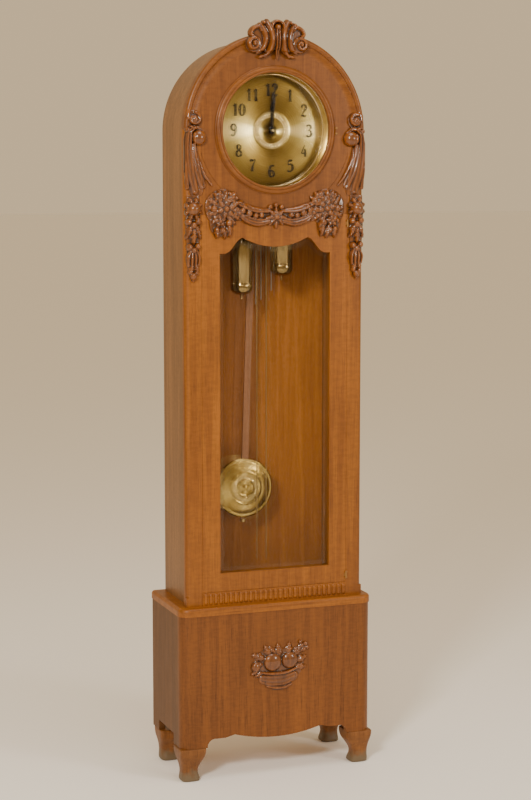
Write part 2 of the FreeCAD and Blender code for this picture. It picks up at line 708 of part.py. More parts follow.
def make_seat_board():
    """The board the movement stands on, with holes for the chains and a notch for the pendulum."""
    top, thick = plate_bottom, size("seat_thickness")
    board = block(-side_inner, side_inner, size("seat_rear"), size("seat_front"), top - thick, top)
    run = size("sprocket_half_gap")
    pitch = size("sprocket_pitch_radius")
    for x in (-run - pitch, -run + pitch, run - pitch, run + pitch):
        hole = Part.makeCylinder(7, thick + 2, point(x, size("chain_depth"), top - thick - 1))
        board = board.cut(hole)
    return board.cut(block(-34, 34, size("seat_rear") - 1, back_plate - 1, top - thick - 1, top + 1))


def make_seat_brackets():
    top = plate_bottom - size("seat_thickness")
    return [block(min(s * side_inner, s * (side_inner - 20)), max(s * side_inner, s * (side_inner - 20)),
                  size("seat_rear"), size("seat_front"), top - 30, top) for s in (-1, 1)]


wheel_thick = size("wheel_thickness")
pinion_over = size("pinion_overhang")


def make_centre_arbor():
    """The centre arbor with its great wheel inside the plates and the cannon pinion in front."""
    radius = size("arbor_radius")
    arbor = disc(0, dial_z, radius, back_plate, dial_front + 13)
    to_third = math.degrees(math.atan2(third_z - dial_z, third_x))
    near = size("centre_wheel_depth")
    wheel = gear(0, dial_z, CENTRE_TEETH, module, near, near + wheel_thick, 0, to_third, True)
    cannon = gear(0, dial_z, CANNON_TEETH, module, front_plate + 6, front_plate + 12, 0, 180, True)
    return arbor.multiFuse([wheel, cannon])


def make_third_wheel():
    """The third arbor: a pinion in mesh with the centre wheel and a wheel that drives the escape pinion."""
    arbor = disc(third_x, third_z, size("pivot_radius") + 0.5, back_plate, front_plate + plate_thick)
    to_centre = math.degrees(math.atan2(dial_z - third_z, -third_x))
    to_escape = math.degrees(math.atan2(escape_z - third_z, -third_x))
    near, own = size("centre_wheel_depth"), size("third_wheel_depth")
    pinion = gear(third_x, third_z, SMALL_TEETH, module, near - pinion_over, near + wheel_thick + pinion_over,
                  0, to_centre, False)
    wheel = gear(third_x, third_z, THIRD_TEETH, third_module, own, own + wheel_thick, 0, to_escape, True)
    return arbor.multiFuse([pinion, wheel])


def make_escape_wheel():
    """The escape arbor: its pinion, and a wheel of thirty pointed teeth."""
    arbor = disc(0, escape_z, size("pivot_radius") + 0.5, back_plate, front_plate + plate_thick)
    to_third = math.degrees(math.atan2(third_z - escape_z, third_x))
    near, own = size("third_wheel_depth"), size("escape_wheel_depth")
    pinion = gear(0, escape_z, SMALL_TEETH, third_module, near - pinion_over,
                  near + wheel_thick + pinion_over, 0, to_third, False)
    tip = size("escape_radius")
    corners = []
    for tooth in range(ESCAPE_TEETH):
        angle = 2 * math.pi * tooth / ESCAPE_TEETH
        for turn, radius in ((0, tip), (0.03, tip - 4), (0.15, tip - 4.5)):
            corners.append((radius * math.cos(angle + turn), escape_z + radius * math.sin(angle + turn)))
    return arbor.multiFuse([pinion, plate(corners, own, own + size("escape_wheel_thickness"))])


def make_anchor():
    """The anchor on its arbor, and behind the back plate the crutch whose fork holds the pendulum rod."""
    top = anchor_z
    arbor = disc(0, top, size("pivot_radius") + 0.5, back_plate - 7, front_plate + plate_thick)
    arms = plate([(-18, top - 15), (-12, top - 11), (-6, top - 4), (6, top - 4), (12, top - 11), (18, top - 15),
                  (20, top - 9), (8, top + 6), (-8, top + 6), (-20, top - 9)], 115, 120)
    crutch = block(-3, 3, back_plate - 7, back_plate - 4, top - 110, top)
    half = size("rod_width") / 2 + 0.4
    rear = size("pendulum_depth") - size("rod_thickness") / 2 - 1
    bridge = block(-half - 3, half + 3, back_plate - 7, back_plate - 4, top - 112, top - 104)
    prongs = [block(min(s * half, s * (half + 3)), max(s * half, s * (half + 3)), rear, back_plate - 4,
                    top - 112, top - 104) for s in (-1, 1)]
    return swing(arbor.multiFuse([arms, crutch, bridge] + prongs))


def swing(shape):
    """Turns a piece about the anchor's axis to where the pendulum stands."""
    return shape.rotated(point(0, 0, anchor_z), FreeCAD.Vector(0, 1, 0), size("pendulum_tilt"))


def make_minute_wheel():
    """The motion work's idler: a wheel in mesh with the cannon pinion and a pinion under the hour wheel."""
    arbor = disc(minute_x, dial_z, size("pivot_radius") + 0.5, front_plate, front_plate + 22)
    wheel = gear(minute_x, dial_z, MINUTE_TEETH, module, front_plate + 7.5, front_plate + 10.5, 0, 0, False)
    pinion = gear(minute_x, dial_z, MINUTE_SMALL, hour_module, front_plate + 14, front_plate + 20, 0, 0, True)
    return arbor.multiFuse([wheel, pinion])


def make_hour_wheel():
    """The hour wheel on its pipe, which turns round the centre arbor."""
    bore = size("arbor_radius") + size("running_gap")
    wheel = gear(0, dial_z, HOUR_TEETH, hour_module, front_plate + 16, front_plate + 19, bore, 180, False)
    pipe = ring(0, dial_z, 5.5, bore, front_plate + 16, dial_front + 4)
    return wheel.fuse(pipe)


def make_sprocket(sign):
    """A chain sprocket between two cheeks, on an arbor across the plates."""
    x, z = sign * size("sprocket_half_gap"), sprocket_z
    middle = size("chain_depth")
    drum = disc(x, z, size("sprocket_pitch_radius") - size("chain_radius") - 0.5, middle - 5, middle + 5)
    cheeks = [disc(x, z, size("sprocket_pitch_radius") + 2, middle + near, middle + near + 2)
              for near in (-5.5, 3.5)]
    arbor = disc(x, z, size("arbor_radius"), back_plate, front_plate + plate_thick)
    return drum.multiFuse(cheeks + [arbor])


group("seat_board", [make_seat_board()])
group("seat_brackets", make_seat_brackets())
group("movement_plates", make_movement_plates())
group("plate_pillars", make_pillars())
group("centre_arbor", [make_centre_arbor()])
group("minute_hand", [make_hand(size("minute_hand_length"), 3, 7, size("arbor_radius"), dial_front + 8,
                                dial_front + 9.5, 3)])
group("hand_nut", [ring(0, dial_z, 4.5, size("arbor_radius"), dial_front + 9.5, dial_front + 12.5)])
group("hour_wheel", [make_hour_wheel()])
group("hour_hand", [make_hand(size("hour_hand_length"), 4, 9, 5.5, dial_front + 2.2, dial_front + 3.7, 0.3)])
group("minute_wheel", [make_minute_wheel()])
group("third_wheel", [make_third_wheel()])
group("escape_wheel", [make_escape_wheel()])
group("anchor", [make_anchor()])
group("sprocket_left", [make_sprocket(-1)])
group("sprocket_right", [make_sprocket(1)])
group("back_cock", [block(-14, 14, back_plate - 26, back_plate, anchor_z + 4, anchor_z + 18)])

# ---- pendulum ---------------------------------------------------------------------------------------

pendulum = size("pendulum_depth")
bob_z = anchor_z - size("bob_drop")
rod_top = anchor_z - 46


def turned(profile, x, depth):
    """A piece turned about an upright axis, from (radius, height) points that start and end on the axis."""
    outline = Part.makePolygon([FreeCAD.Vector(x + r, depth_y(depth), z) for r, z in profile]
                               + [FreeCAD.Vector(x + profile[0][0], depth_y(depth), profile[0][1])])
    return Part.Face(outline).revolve(point(x, depth, 0), FreeCAD.Vector(0, 0, 1), 360)


def make_suspension():
    """The thin suspension spring and the brass hook that takes the rod."""
    spring_leaf = block(-5, 5, pendulum - 0.3, pendulum + 0.3, rod_top + 10, anchor_z + 3.4)
    hook = block(-8, 8, pendulum - 4, pendulum + 4, rod_top, rod_top + 18)
    return swing(spring_leaf.fuse(hook))


def make_rod():
    """The flat wooden rod and the threaded stud at its end."""
    half, thick = size("rod_width") / 2, size("rod_thickness") / 2
    low = bob_z - size("bob_radius") + 4
    flat = block(-half, half, pendulum - thick, pendulum + thick, low, rod_top)
    stud = Part.makeCylinder(2.5, low - (anchor_z - size("rod_drop")), point(0, pendulum,
                             anchor_z - size("rod_drop")))
    return swing(flat.fuse(stud))


def make_bob():
    """The lens-shaped brass bob, slotted for the rod."""
    radius, half = size("bob_radius"), size("bob_thickness") / 2
    rim = 3
    ball = (radius ** 2 + (half - rim) ** 2) / (2 * (half - rim))
    front = Part.makeSphere(ball, point(0, pendulum + half - ball, bob_z))
    rear = Part.makeSphere(ball, point(0, pendulum - half + ball, bob_z))
    lens = front.common(rear).common(disc(0, bob_z, radius, pendulum - half, pendulum + half))
    wide, thick = size("rod_width") / 2, size("rod_thickness") / 2
    slot = block(-wide, wide, pendulum - thick, pendulum + thick, bob_z - radius + 4, bob_z + radius + 1)
    stud = Part.makeCylinder(2.5, 12, point(0, pendulum, bob_z - radius - 6))
    return swing(lens.cut(slot).cut(stud))


def make_rating_nut():
    low = bob_z - size("bob_radius") - 12
    foot = point(0, pendulum, low)
    nut = Part.makeCylinder(8, 8, foot).cut(Part.makeCylinder(2.5, 8, foot))
    return swing(nut)


group("suspension_spring", [make_suspension()])
group("pendulum_rod", [make_rod()])
group("pendulum_bob", [make_bob()])
group("rating_nut", [make_rating_nut()])

# ---- weights, chains, gong and hammer ---------------------------------------------------------------

run_x = size("sprocket_half_gap") + size("sprocket_pitch_radius")
loose_x = size("sprocket_half_gap") - size("sprocket_pitch_radius")
hook_top = weight_top + 18


def make_weight(sign, length):
    """A brass shell with a domed cap, a turned finial below and a hook for the chain."""
    radius, top = size("weight_radius"), weight_top
    low = top - length
    profile = [(0, low - 15), (4, low - 13), (5, low - 9), (3, low - 6), (13, low - 3), (radius - 3, low),
               (radius, low + 3), (radius, top - 12), (radius - 6, top - 4), (8, top), (3, top + 4),
               (3, hook_top), (0, hook_top)]
    return turned(profile, sign * run_x, size("chain_depth"))


def make_run(x, low):
    """One straight run of chain, as a bar of its outer width."""
    return Part.makeCylinder(size("chain_radius"), sprocket_z - low, point(x, size("chain_depth"), low))


def make_gong_block():
    """The iron block on the back board that holds the gong's rods."""
    rear = trunk_rear + size("back_thickness")
    low = gong_block_bottom
    return block(-8, 68, rear, size("gong_depth") + 10, low, low + 40)


def make_gong_rods():
    found = []
    for index in range(5):
        length = size("gong_length") - 12 * index
        x = size("gong_spacing") * index
        found.append(Part.makeCylinder(size("gong_radius"), length,
                                       point(x, size("gong_depth"), gong_block_bottom - length)))
    return found


hammer_x, hammer_z, hammer_depth = 52.5, plate_bottom - size("seat_thickness") - 12, 70


def make_hammer_bracket():
    """Two ears under the seat board that carry the hammer's arbor."""
    top = plate_bottom - size("seat_thickness")
    ears = block(hammer_x - 12, hammer_x + 12, hammer_depth - 6, hammer_depth + 6, hammer_z - 6, top)
    slot = block(hammer_x - 7, hammer_x + 7, hammer_depth - 7, hammer_depth + 7, hammer_z - 7, top - 3)
    bore = Part.makeCylinder(size("pivot_radius") + size("running_gap"), 26,
                             point(hammer_x - 13, hammer_depth, hammer_z), FreeCAD.Vector(1, 0, 0))
    return ears.cut(slot).cut(bore)


def make_hammer():
    """The hammer: an arbor, an arm that hangs from it and a round head beside the gong's rods."""
    arbor = Part.makeCylinder(size("pivot_radius"), 24, point(hammer_x - 12, hammer_depth, hammer_z),
                              FreeCAD.Vector(1, 0, 0))
    arm = block(hammer_x - 2, hammer_x + 2, hammer_depth - 2, hammer_depth + 2, hammer_z - 92, hammer_z)
    face = size("gong_depth") + size("gong_radius") + 2
    head = disc(hammer_x, hammer_z - 88, 10, face, hammer_depth + 4)
    return arbor.multiFuse([arm, head])


group("weight_left", [make_weight(-1, size("left_weight_length"))])
group("weight_right", [make_weight(1, size("right_weight_length"))])
group("chain_left", [make_run(-run_x, hook_top)])
group("chain_right", [make_run(run_x, hook_top)])
group("loose_chain_left", [make_run(-loose_x, size("base_top") + size("loose_chain_rise"))])
group("loose_chain_right", [make_run(loose_x, size("base_top") + size("loose_chain_rise"))])
group("gong_block", [make_gong_block()])
group("gong_rods", make_gong_rods())
group("hammer_bracket", [make_hammer_bracket()])
group("strike_hammer", [make_hammer()])

# ---- checks and files -------------------------------------------------------------------------------

doc.recompute()
for item in doc.Objects:
    if "Invalid" in item.State or "Error" in item.State:
        raise RuntimeError("%s failed: %s" % (item.Name, item.State))
for item in pieces:
    if item.Shape.isNull() or not item.Shape.isValid() or not item.Shape.Solids:
        raise RuntimeError("%s has no valid shape" % item.Label)

os.makedirs("parts", exist_ok=True)
for item in pieces:
    item.Shape.exportStep(os.path.join("parts", item.Label + ".step"))
print(len(pieces), "pieces written")
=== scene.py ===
import json
import math
import random

import bmesh
import bpy
import numpy as np
from mathutils import Matrix, Vector


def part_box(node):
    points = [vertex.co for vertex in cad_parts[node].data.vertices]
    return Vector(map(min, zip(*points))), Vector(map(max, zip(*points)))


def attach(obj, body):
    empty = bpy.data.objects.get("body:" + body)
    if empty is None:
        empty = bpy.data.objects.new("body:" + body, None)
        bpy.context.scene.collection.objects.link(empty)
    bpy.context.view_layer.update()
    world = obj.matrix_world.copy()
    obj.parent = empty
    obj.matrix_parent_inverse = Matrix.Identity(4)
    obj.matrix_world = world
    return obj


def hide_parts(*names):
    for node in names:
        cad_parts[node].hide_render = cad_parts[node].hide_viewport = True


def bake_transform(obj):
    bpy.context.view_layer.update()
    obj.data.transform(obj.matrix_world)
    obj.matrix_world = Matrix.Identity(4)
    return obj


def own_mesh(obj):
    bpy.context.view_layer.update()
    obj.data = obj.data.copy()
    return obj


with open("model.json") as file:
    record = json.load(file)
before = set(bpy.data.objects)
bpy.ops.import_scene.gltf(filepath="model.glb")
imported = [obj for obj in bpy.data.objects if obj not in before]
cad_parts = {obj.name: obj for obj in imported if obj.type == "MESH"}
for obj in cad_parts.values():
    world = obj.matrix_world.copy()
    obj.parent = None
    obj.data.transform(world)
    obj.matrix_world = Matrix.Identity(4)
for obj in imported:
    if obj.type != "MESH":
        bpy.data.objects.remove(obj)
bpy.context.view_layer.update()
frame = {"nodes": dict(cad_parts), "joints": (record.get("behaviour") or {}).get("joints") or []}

print("stage: frame loaded")

mm = 0.001

# where things are
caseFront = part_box("door_frame")[0].y        # front face of the door and stiles
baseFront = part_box("base_front_panel")[0].y
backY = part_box("base_back")[1].y
dialLow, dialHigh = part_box("dial_plate")
dialFace = dialLow.y
dialCentre = Vector(((dialLow.x + dialHigh.x) / 2, dialFace, (dialLow.z + dialHigh.z) / 2))


# camera, floor and light
stageSettings = {
    "cameraPlace": (-1.7043, backY - 4.7175, 1.5786),
    "cameraYaw": -0.3579,
    "cameraPitch": -0.118,
    "lens": 82.1,
    "floorColour": (0.97, 0.955, 0.93),
    "floorReach": 90,
    "wallColour": (1.0, 0.75, 0.45),
    "wallStrength": 0.72,
    "lights": {                  # place, where it points, size, power, colour
        "key light": ((-2.6, -3.4, 3.1), (0, 0, 1.2), 0.7, 166, (1, 0.93, 0.84)),
        "fill light": ((2.8, -3.6, 2.2), (0, 0, 1.1), 0.9, 62, (1, 0.94, 0.86)),
        "top light": ((0.2, -1.0, 4.0), (0, 0, 1.2), 1.4, 30, (1, 0.98, 0.95)),
    },
}


def makeStage():
    s = stageSettings
    cameraData = bpy.data.cameras.new("camera")
    cameraData.lens = s["lens"]
    cameraData.sensor_width = 36
    cameraData.clip_end = 300
    camera = bpy.data.objects.new("camera", cameraData)
    bpy.context.scene.collection.objects.link(camera)
    camera.location = s["cameraPlace"]
    camera.rotation_euler = (math.pi / 2 + s["cameraPitch"], 0, s["cameraYaw"])
    bpy.context.scene.camera = camera
    floorMesh = bpy.data.meshes.new("floor")
    reach = s["floorReach"]
    corners = [(-reach, -reach, 0), (reach, -reach, 0), (reach, reach, 0), (-reach, reach, 0)]
    floorMesh.from_pydata(corners, [], [(0, 1, 2, 3)])
    floor = bpy.data.objects.new("floor", floorMesh)
    bpy.context.scene.collection.objects.link(floor)
    floorMesh.materials.append(plainMaterial("pale floor", s["floorColour"], 0.8))
    world = bpy.data.worlds.new("soft studio")
    bpy.context.scene.world = world
    world.use_nodes = True
    background = world.node_tree.nodes["Background"]
    background.inputs["Color"].default_value = (*s["wallColour"], 1)
    background.inputs["Strength"].default_value = s["wallStrength"]
    for name, values in s["lights"].items():
        addLight(name, *values)


def addLight(name, place, target, size, power, colour):
    data = bpy.data.lights.new(name, "AREA")
    data.size = size
    data.energy = power
    data.color = colour
    lamp = bpy.data.objects.new(name, data)
    bpy.context.scene.collection.objects.link(lamp)
    lamp.location = place
    lamp.rotation_euler = (Vector(target) - Vector(place)).to_track_quat("-Z", "Y").to_euler()


# materials
def newMaterial(name):
    material = bpy.data.materials.new(name)
    material.use_nodes = True
    tree = material.node_tree
    return material, tree, tree.nodes["Principled BSDF"]


def plainMaterial(name, colour, roughness):
    material, _, shader = newMaterial(name)
    shader.inputs["Base Color"].default_value = (*colour, 1)
    shader.inputs["Roughness"].default_value = roughness
    return material


def addNode(tree, kind, **inputs):
    node = tree.nodes.new(kind)
    for name, value in inputs.items():
        node.inputs[name.replace("_", " ")].default_value = value
    return node


# Object coordinates through a Mapping node.
def stretchedPattern(tree, scale):
    place = tree.nodes.new("ShaderNodeTexCoord")
    mapping = tree.nodes.new("ShaderNodeMapping")
    mapping.inputs["Scale"].default_value = scale
    tree.links.new(place.outputs["Object"], mapping.inputs["Vector"])
    return mapping.outputs["Vector"]


def ramp(tree, source, stops):
    node = tree.nodes.new("ShaderNodeValToRGB")
    while len(node.color_ramp.elements) < len(stops):
        node.color_ramp.elements.new(0.5)
    for element, (position, colour) in zip(node.color_ramp.elements, stops):
        element.position = position
        element.color = (*colour, 1)
    tree.links.new(source, node.inputs["Fac"])
    return node.outputs["Color"]


def mixColours(tree, share, first, second, blend="MIX"):
    node = tree.nodes.new("ShaderNodeMix")
    node.data_type = "RGBA"
    node.blend_type = blend
    if isinstance(share, float):
        node.inputs["Factor"].default_value = share
    else:
        tree.links.new(share, node.inputs["Factor"])
    for socket, value in ((node.inputs[6], first), (node.inputs[7], second)):
        if isinstance(value, tuple):
            socket.default_value = (*value, 1)
        else:
            tree.links.new(value, socket)
    return node.outputs[2]


# Varnished oak: broad cathedral bands, fine fibres and short dark pores that run with the grain.
def oakMaterial(name, dark, light, along="z", roughness=0.38, coat=0.08, bump=0.12):
    material, tree, shader = newMaterial(name)
    shrink = {"x": (0.035, 1, 1), "y": (1, 0.035, 1), "z": (1, 1, 0.035)}[along]
    bands = addNode(tree, "ShaderNodeTexNoise", Scale=52.0, Detail=6.0, Roughness=0.66, Distortion=0.5)
    tree.links.new(stretchedPattern(tree, shrink), bands.inputs["Vector"])
    fibres = addNode(tree, "ShaderNodeTexNoise", Scale=420.0, Detail=3.0, Roughness=0.7)
    tree.links.new(stretchedPattern(tree, shrink), fibres.inputs["Vector"])
    patches = addNode(tree, "ShaderNodeTexNoise", Scale=5.0, Detail=2.0)
    longPatches = tuple(0.4 if v < 1 else 1 for v in shrink)
    tree.links.new(stretchedPattern(tree, longPatches), patches.inputs["Vector"])
    middle = tuple((a + b) / 2 for a, b in zip(dark, light))
    deep = tuple((a + b) / 2 for a, b in zip(dark, middle))
    colour = ramp(tree, bands.outputs["Fac"], [(0.28, deep), (0.46, middle), (0.64, light), (0.82, middle)])
    rays = addNode(tree, "ShaderNodeTexNoise", Scale=150.0, Detail=2.0, Roughness=0.5)
    stretch = {"x": (1, 1, 0.3), "y": (0.3, 1, 1), "z": (0.3, 1, 1)}[along]
    tree.links.new(stretchedPattern(tree, stretch), rays.inputs["Vector"])
    flecks = ramp(tree, rays.outputs["Fac"], [(0.42, (0.86, 0.84, 0.82)), (0.56, (1.06, 1.05, 1.04))])
    colour = mixColours(tree, 0.6, colour, flecks, "MULTIPLY")
    pores = ramp(tree, fibres.outputs["Fac"], [(0.3, (0.45, 0.42, 0.4)), (0.46, (1, 1, 1))])
    colour = mixColours(tree, 0.75, colour, pores, "MULTIPLY")
    warm = ramp(tree, patches.outputs["Fac"], [(0.3, (0.84, 0.8, 0.76)), (0.7, (1.12, 1.08, 1.04))])
    colour = mixColours(tree, 0.8, colour, warm, "MULTIPLY")
    tree.links.new(colour, shader.inputs["Base Color"])
    gloss = tree.nodes.new("ShaderNodeMapRange")
    gloss.inputs["To Min"].default_value = roughness + 0.14
    gloss.inputs["To Max"].default_value = roughness - 0.06
    tree.links.new(fibres.outputs["Fac"], gloss.inputs["Value"])
    tree.links.new(gloss.outputs["Result"], shader.inputs["Roughness"])
    shader.inputs["Coat Weight"].default_value = coat
    shader.inputs["Coat Roughness"].default_value = 0.22
    shader.inputs["Specular IOR Level"].default_value = 0.3
    height = tree.nodes.new("ShaderNodeBump")
    height.inputs["Strength"].default_value = bump
    height.inputs["Distance"].default_value = 0.0006
    tree.links.new(fibres.outputs["Fac"], height.inputs["Height"])
    tree.links.new(height.outputs["Normal"], shader.inputs["Normal"])
    return material


# Carved oak under thick glossy varnish, with painted shade in its hollows and painted light on its raised
# tops.
def carvedMaterial(name, dark, light):
    material, tree, shader = newMaterial(name)
    grain = addNode(tree, "ShaderNodeTexNoise", Scale=120.0, Detail=4.0, Roughness=0.6)
    tree.links.new(stretchedPattern(tree, (1, 1, 0.12)), grain.inputs["Vector"])
    colour = ramp(tree, grain.outputs["Fac"], [(0.3, dark), (0.62, light)])
    depth = tree.nodes.new("ShaderNodeAttribute")
    depth.attribute_name = "paintedShade"
    # Painted shade and light: hollows darkened and raised tops lightened by the per-vertex painted shade
    # value.
    paintedShadeAndLight = ramp(tree, depth.outputs["Fac"], [(0.0, (1.25, 1.2, 1.1)), (0.28, (0.85, 0.82, 0.8)),
                                                (0.6, (0.2, 0.16, 0.13))])
    colour = mixColours(tree, 0.9, colour, paintedShadeAndLight, "MULTIPLY")
    tree.links.new(colour, shader.inputs["Base Color"])
    shader.inputs["Roughness"].default_value = 0.3
    shader.inputs["Coat Weight"].default_value = 0.6
    shader.inputs["Coat Roughness"].default_value = 0.09
    shader.inputs["Specular IOR Level"].default_value = 0.35
    height = tree.nodes.new("ShaderNodeBump")
    height.inputs["Strength"].default_value = 0.15
    height.inputs["Distance"].default_value = 0.0008
    tree.links.new(grain.outputs["Fac"], height.inputs["Height"])
    tree.links.new(height.outputs["Normal"], shader.inputs["Normal"])
    return material


# Metal with faint polishing marks and cloudy tarnish.
def metalMaterial(name, colour, roughness, stretch=(1, 1, 1), scale=90.0, variation=0.1, metallic=1.0):
    material, tree, shader = newMaterial(name)
    marks = addNode(tree, "ShaderNodeTexNoise", Scale=scale, Detail=4.0, Roughness=0.65)
    tree.links.new(stretchedPattern(tree, stretch), marks.inputs["Vector"])
    darker = tuple(c * 0.72 for c in colour)
    tarnish = ramp(tree, marks.outputs["Fac"], [(0.3, darker), (0.65, colour)])
    tree.links.new(tarnish, shader.inputs["Base Color"])
    gloss = tree.nodes.new("ShaderNodeMapRange")
    gloss.inputs["To Min"].default_value = max(roughness - variation, 0.03)
    gloss.inputs["To Max"].default_value = roughness + variation
    tree.links.new(marks.outputs["Fac"], gloss.inputs["Value"])
    tree.links.new(gloss.outputs["Result"], shader.inputs["Roughness"])
    shader.inputs["Metallic"].default_value = metallic
    return material


def glassMaterial(name, body=0.12):
    material, tree, shader = newMaterial(name)
    smudge = addNode(tree, "ShaderNodeTexNoise", Scale=14.0, Detail=3.0)
    tree.links.new(stretchedPattern(tree, (1, 1, 0.6)), smudge.inputs["Vector"])
    film = ramp(tree, smudge.outputs["Fac"], [(0.5, (0.0, 0.0, 0.0)), (0.8, (0.012, 0.012, 0.012))])
    shader.inputs["Base Color"].default_value = (0.97, 0.99, 0.97, 1)
    tree.links.new(film, shader.inputs["Roughness"])
    shader.inputs["Transmission Weight"].default_value = 1.0
    shader.inputs["IOR"].default_value = 1.45
    shader.inputs["Alpha"].default_value = body
    return material


# The varnish is worn to grey wood on the lowest part of the feet.
def wearToes(material):
    tree = material.node_tree
    shader = tree.nodes["Principled BSDF"]
    varnished = shader.inputs["Base Color"].links[0].from_socket
    place = tree.nodes.new("ShaderNodeTexCoord")
    apart = tree.nodes.new("ShaderNodeSeparateXYZ")
    tree.links.new(place.outputs["Object"], apart.inputs["Vector"])
    rough = addNode(tree, "ShaderNodeTexNoise", Scale=60.0, Detail=5.0)
    tree.links.new(place.outputs["Object"], rough.inputs["Vector"])
    wander = tree.nodes.new("ShaderNodeMath")
    wander.operation = "MULTIPLY_ADD"
    wander.inputs[1].default_value = 0.05
    tree.links.new(rough.outputs["Fac"], wander.inputs[0])
    tree.links.new(apart.outputs["Z"], wander.inputs[2])
    share = ramp(tree, wander.outputs["Value"], [(0.04, (1, 1, 1)), (0.06, (0, 0, 0))])
    tree.links.new(mixColours(tree, share, varnished, (0.13, 0.09, 0.05)), shader.inputs["Base Color"])


oakFront = oakMaterial("oak front", (0.14, 0.042, 0.004), (0.275, 0.095, 0.009))
oakBase = oakMaterial("oak base", (0.095, 0.028, 0.003), (0.19, 0.063, 0.007))
oakHood = oakMaterial("oak hood", (0.1, 0.029, 0.003), (0.2, 0.067, 0.007))
oakRound = oakMaterial("oak round", (0.11, 0.032, 0.003), (0.22, 0.075, 0.008), along="x")
oakSide = oakMaterial("oak side", (0.125, 0.055, 0.014), (0.25, 0.115, 0.034), roughness=0.42, coat=0.15)
# Painted shade: a darker copy of the base oak for the base's sides.
oakBaseSideShade = oakMaterial("oak base side, painted shade", (0.07, 0.026, 0.005), (0.14, 0.055, 0.011), roughness=0.45,
                          coat=0.0)
oakInside = oakMaterial("oak inside", (0.26, 0.088, 0.015), (0.48, 0.188, 0.034), roughness=0.5, coat=0.0)
oakAcross = oakMaterial("oak across", (0.15, 0.045, 0.004), (0.29, 0.1, 0.01), along="x")
carvedOak = carvedMaterial("carved oak", (0.08, 0.022, 0.003), (0.19, 0.06, 0.008))
wornOak = oakMaterial("worn oak", (0.1, 0.034, 0.006), (0.21, 0.08, 0.016), roughness=0.42, coat=0.1,
                      bump=0.3)
wearToes(wornOak)
rodWood = oakMaterial("rod wood", (0.2, 0.09, 0.045), (0.34, 0.17, 0.09), roughness=0.45, coat=0.1,
                      bump=0.05)
clearGlass = glassMaterial("clear glass")
polishedBrass = metalMaterial("polished brass", (0.33, 0.235, 0.095), 0.11, (1, 1, 0.2), 60.0, 0.05)
plateBrass = metalMaterial("plate brass", (0.58, 0.43, 0.17), 0.3)
chainBrass = metalMaterial("chain brass", (0.38, 0.27, 0.11), 0.38)
castBrass = metalMaterial("cast brass", (0.9, 0.74, 0.36), 0.2, scale=300.0)
blackEnamel = metalMaterial("black enamel", (0.006, 0.005, 0.004), 0.45, metallic=0.0)
blackEnamel.node_tree.nodes["Principled BSDF"].inputs["Specular IOR Level"].default_value = 0.15
bluedSteel = metalMaterial("blued steel", (0.03, 0.03, 0.035), 0.22)
brightSteel = metalMaterial("bright steel", (0.5, 0.5, 0.5), 0.3)
agedBronze = metalMaterial("aged bronze", (0.34, 0.17, 0.045), 0.45, metallic=0.4)
castIron = metalMaterial("cast iron", (0.04, 0.04, 0.04), 0.5, scale=400.0, metallic=0.6)
print("stage: materials made")

nodeFinishes = {
    oakBase: ["base_front_panel", "base_corner_posts"],
    oakHood: ["dial_board"],
    oakFront: ["front_stiles", "door_frame"],
    oakBaseSideShade: ["base_sides"],
    oakSide: ["trunk_side_left", "trunk_side_right", "arch_shell"],
    oakInside: ["base_back", "base_floor", "trunk_back", "seat_board", "seat_brackets"],
    oakAcross: ["base_cap", "reeded_rail"],
    oakRound: ["arch_moulding", "bezel_ring"],
    carvedOak: ["scroll_carvings", "festoon_carvings", "shell_crest", "fruit_carving", "door_garland"],
    wornOak: ["front_feet", "rear_feet"],
    clearGlass: ["door_glass", "bezel_glass"],
    polishedBrass: ["weight_left", "weight_right", "pendulum_bob"],
    plateBrass: ["movement_plates", "plate_pillars", "centre_arbor", "hour_wheel", "minute_wheel",
                 "third_wheel", "escape_wheel", "sprocket_left", "sprocket_right", "back_cock", "rating_nut",
                 "hammer_bracket", "dial_plate"],
    agedBronze: ["hinge_pins", "door_hinge_barrels"],
    castBrass: ["dial_ornament"],
    chainBrass: ["chain_left", "chain_right", "loose_chain_left", "loose_chain_right"],
    blackEnamel: ["dial_numerals"],
    bluedSteel: ["minute_hand", "hour_hand", "hand_nut"],
    brightSteel: ["anchor", "suspension_spring", "strike_hammer", "gong_rods"],
    castIron: ["gong_block"],
    rodWood: ["pendulum_rod"],
}
for material, names in nodeFinishes.items():
    for name in names:
        slots = frame["nodes"][name].data.materials
        slots.clear()
        slots.append(material)
makeStage()
print("stage: nodes finished, camera and light set")


# Turns a bmesh into a piece that rides on a body.
def finishPiece(name, bm, material, body, replaced=(), smooth=True):
    bmesh.ops.remove_doubles(bm, verts=bm.verts, dist=1e-6)
    bmesh.ops.recalc_face_normals(bm, faces=bm.faces)
    mesh = bpy.data.meshes.new(name)
    bm.to_mesh(mesh)
    bm.free()
    if smooth:
        mesh.shade_smooth()
    mesh.materials.append(material)
    piece = bpy.data.objects.new(name, mesh)
    bpy.context.scene.collection.objects.link(piece)
    return settle(piece, body, replaced)


def settle(piece, body, replaced=()):
    if body:
        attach(piece, body)
    if replaced:
        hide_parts(*replaced)
    return piece


# A value read from an evenly spaced list, smoothly, at t from 0 to 1.
def along(values, t):
    if len(values) == 1:
        return values[0]
    place = min(max(t, 0), 1) * (len(values) - 1)
    index = min(int(place), len(values) - 2)
    share = place - index
    share = share * share * (3 - 2 * share)
    return values[index] * (1 - share) + values[index + 1] * share


# Points of a Catmull-Rom curve through the given points.
def smoothPath(points, steps):
    held = [Vector(p) for p in points]
    ends = [held[0] * 2 - held[1]] + held + [held[-1] * 2 - held[-2]]
    found = []
    for step in range(steps + 1):
        place = step / steps * (len(held) - 1)
        index = min(int(place), len(held) - 2)
        t = place - index
        a, b, c, d = ends[index:index + 4]
        found.append(0.5 * (2 * b + (c - a) * t + (2 * a - 5 * b + 4 * c - d) * t * t
                            + (3 * b - a - 3 * c + d) * t ** 3))
    return found


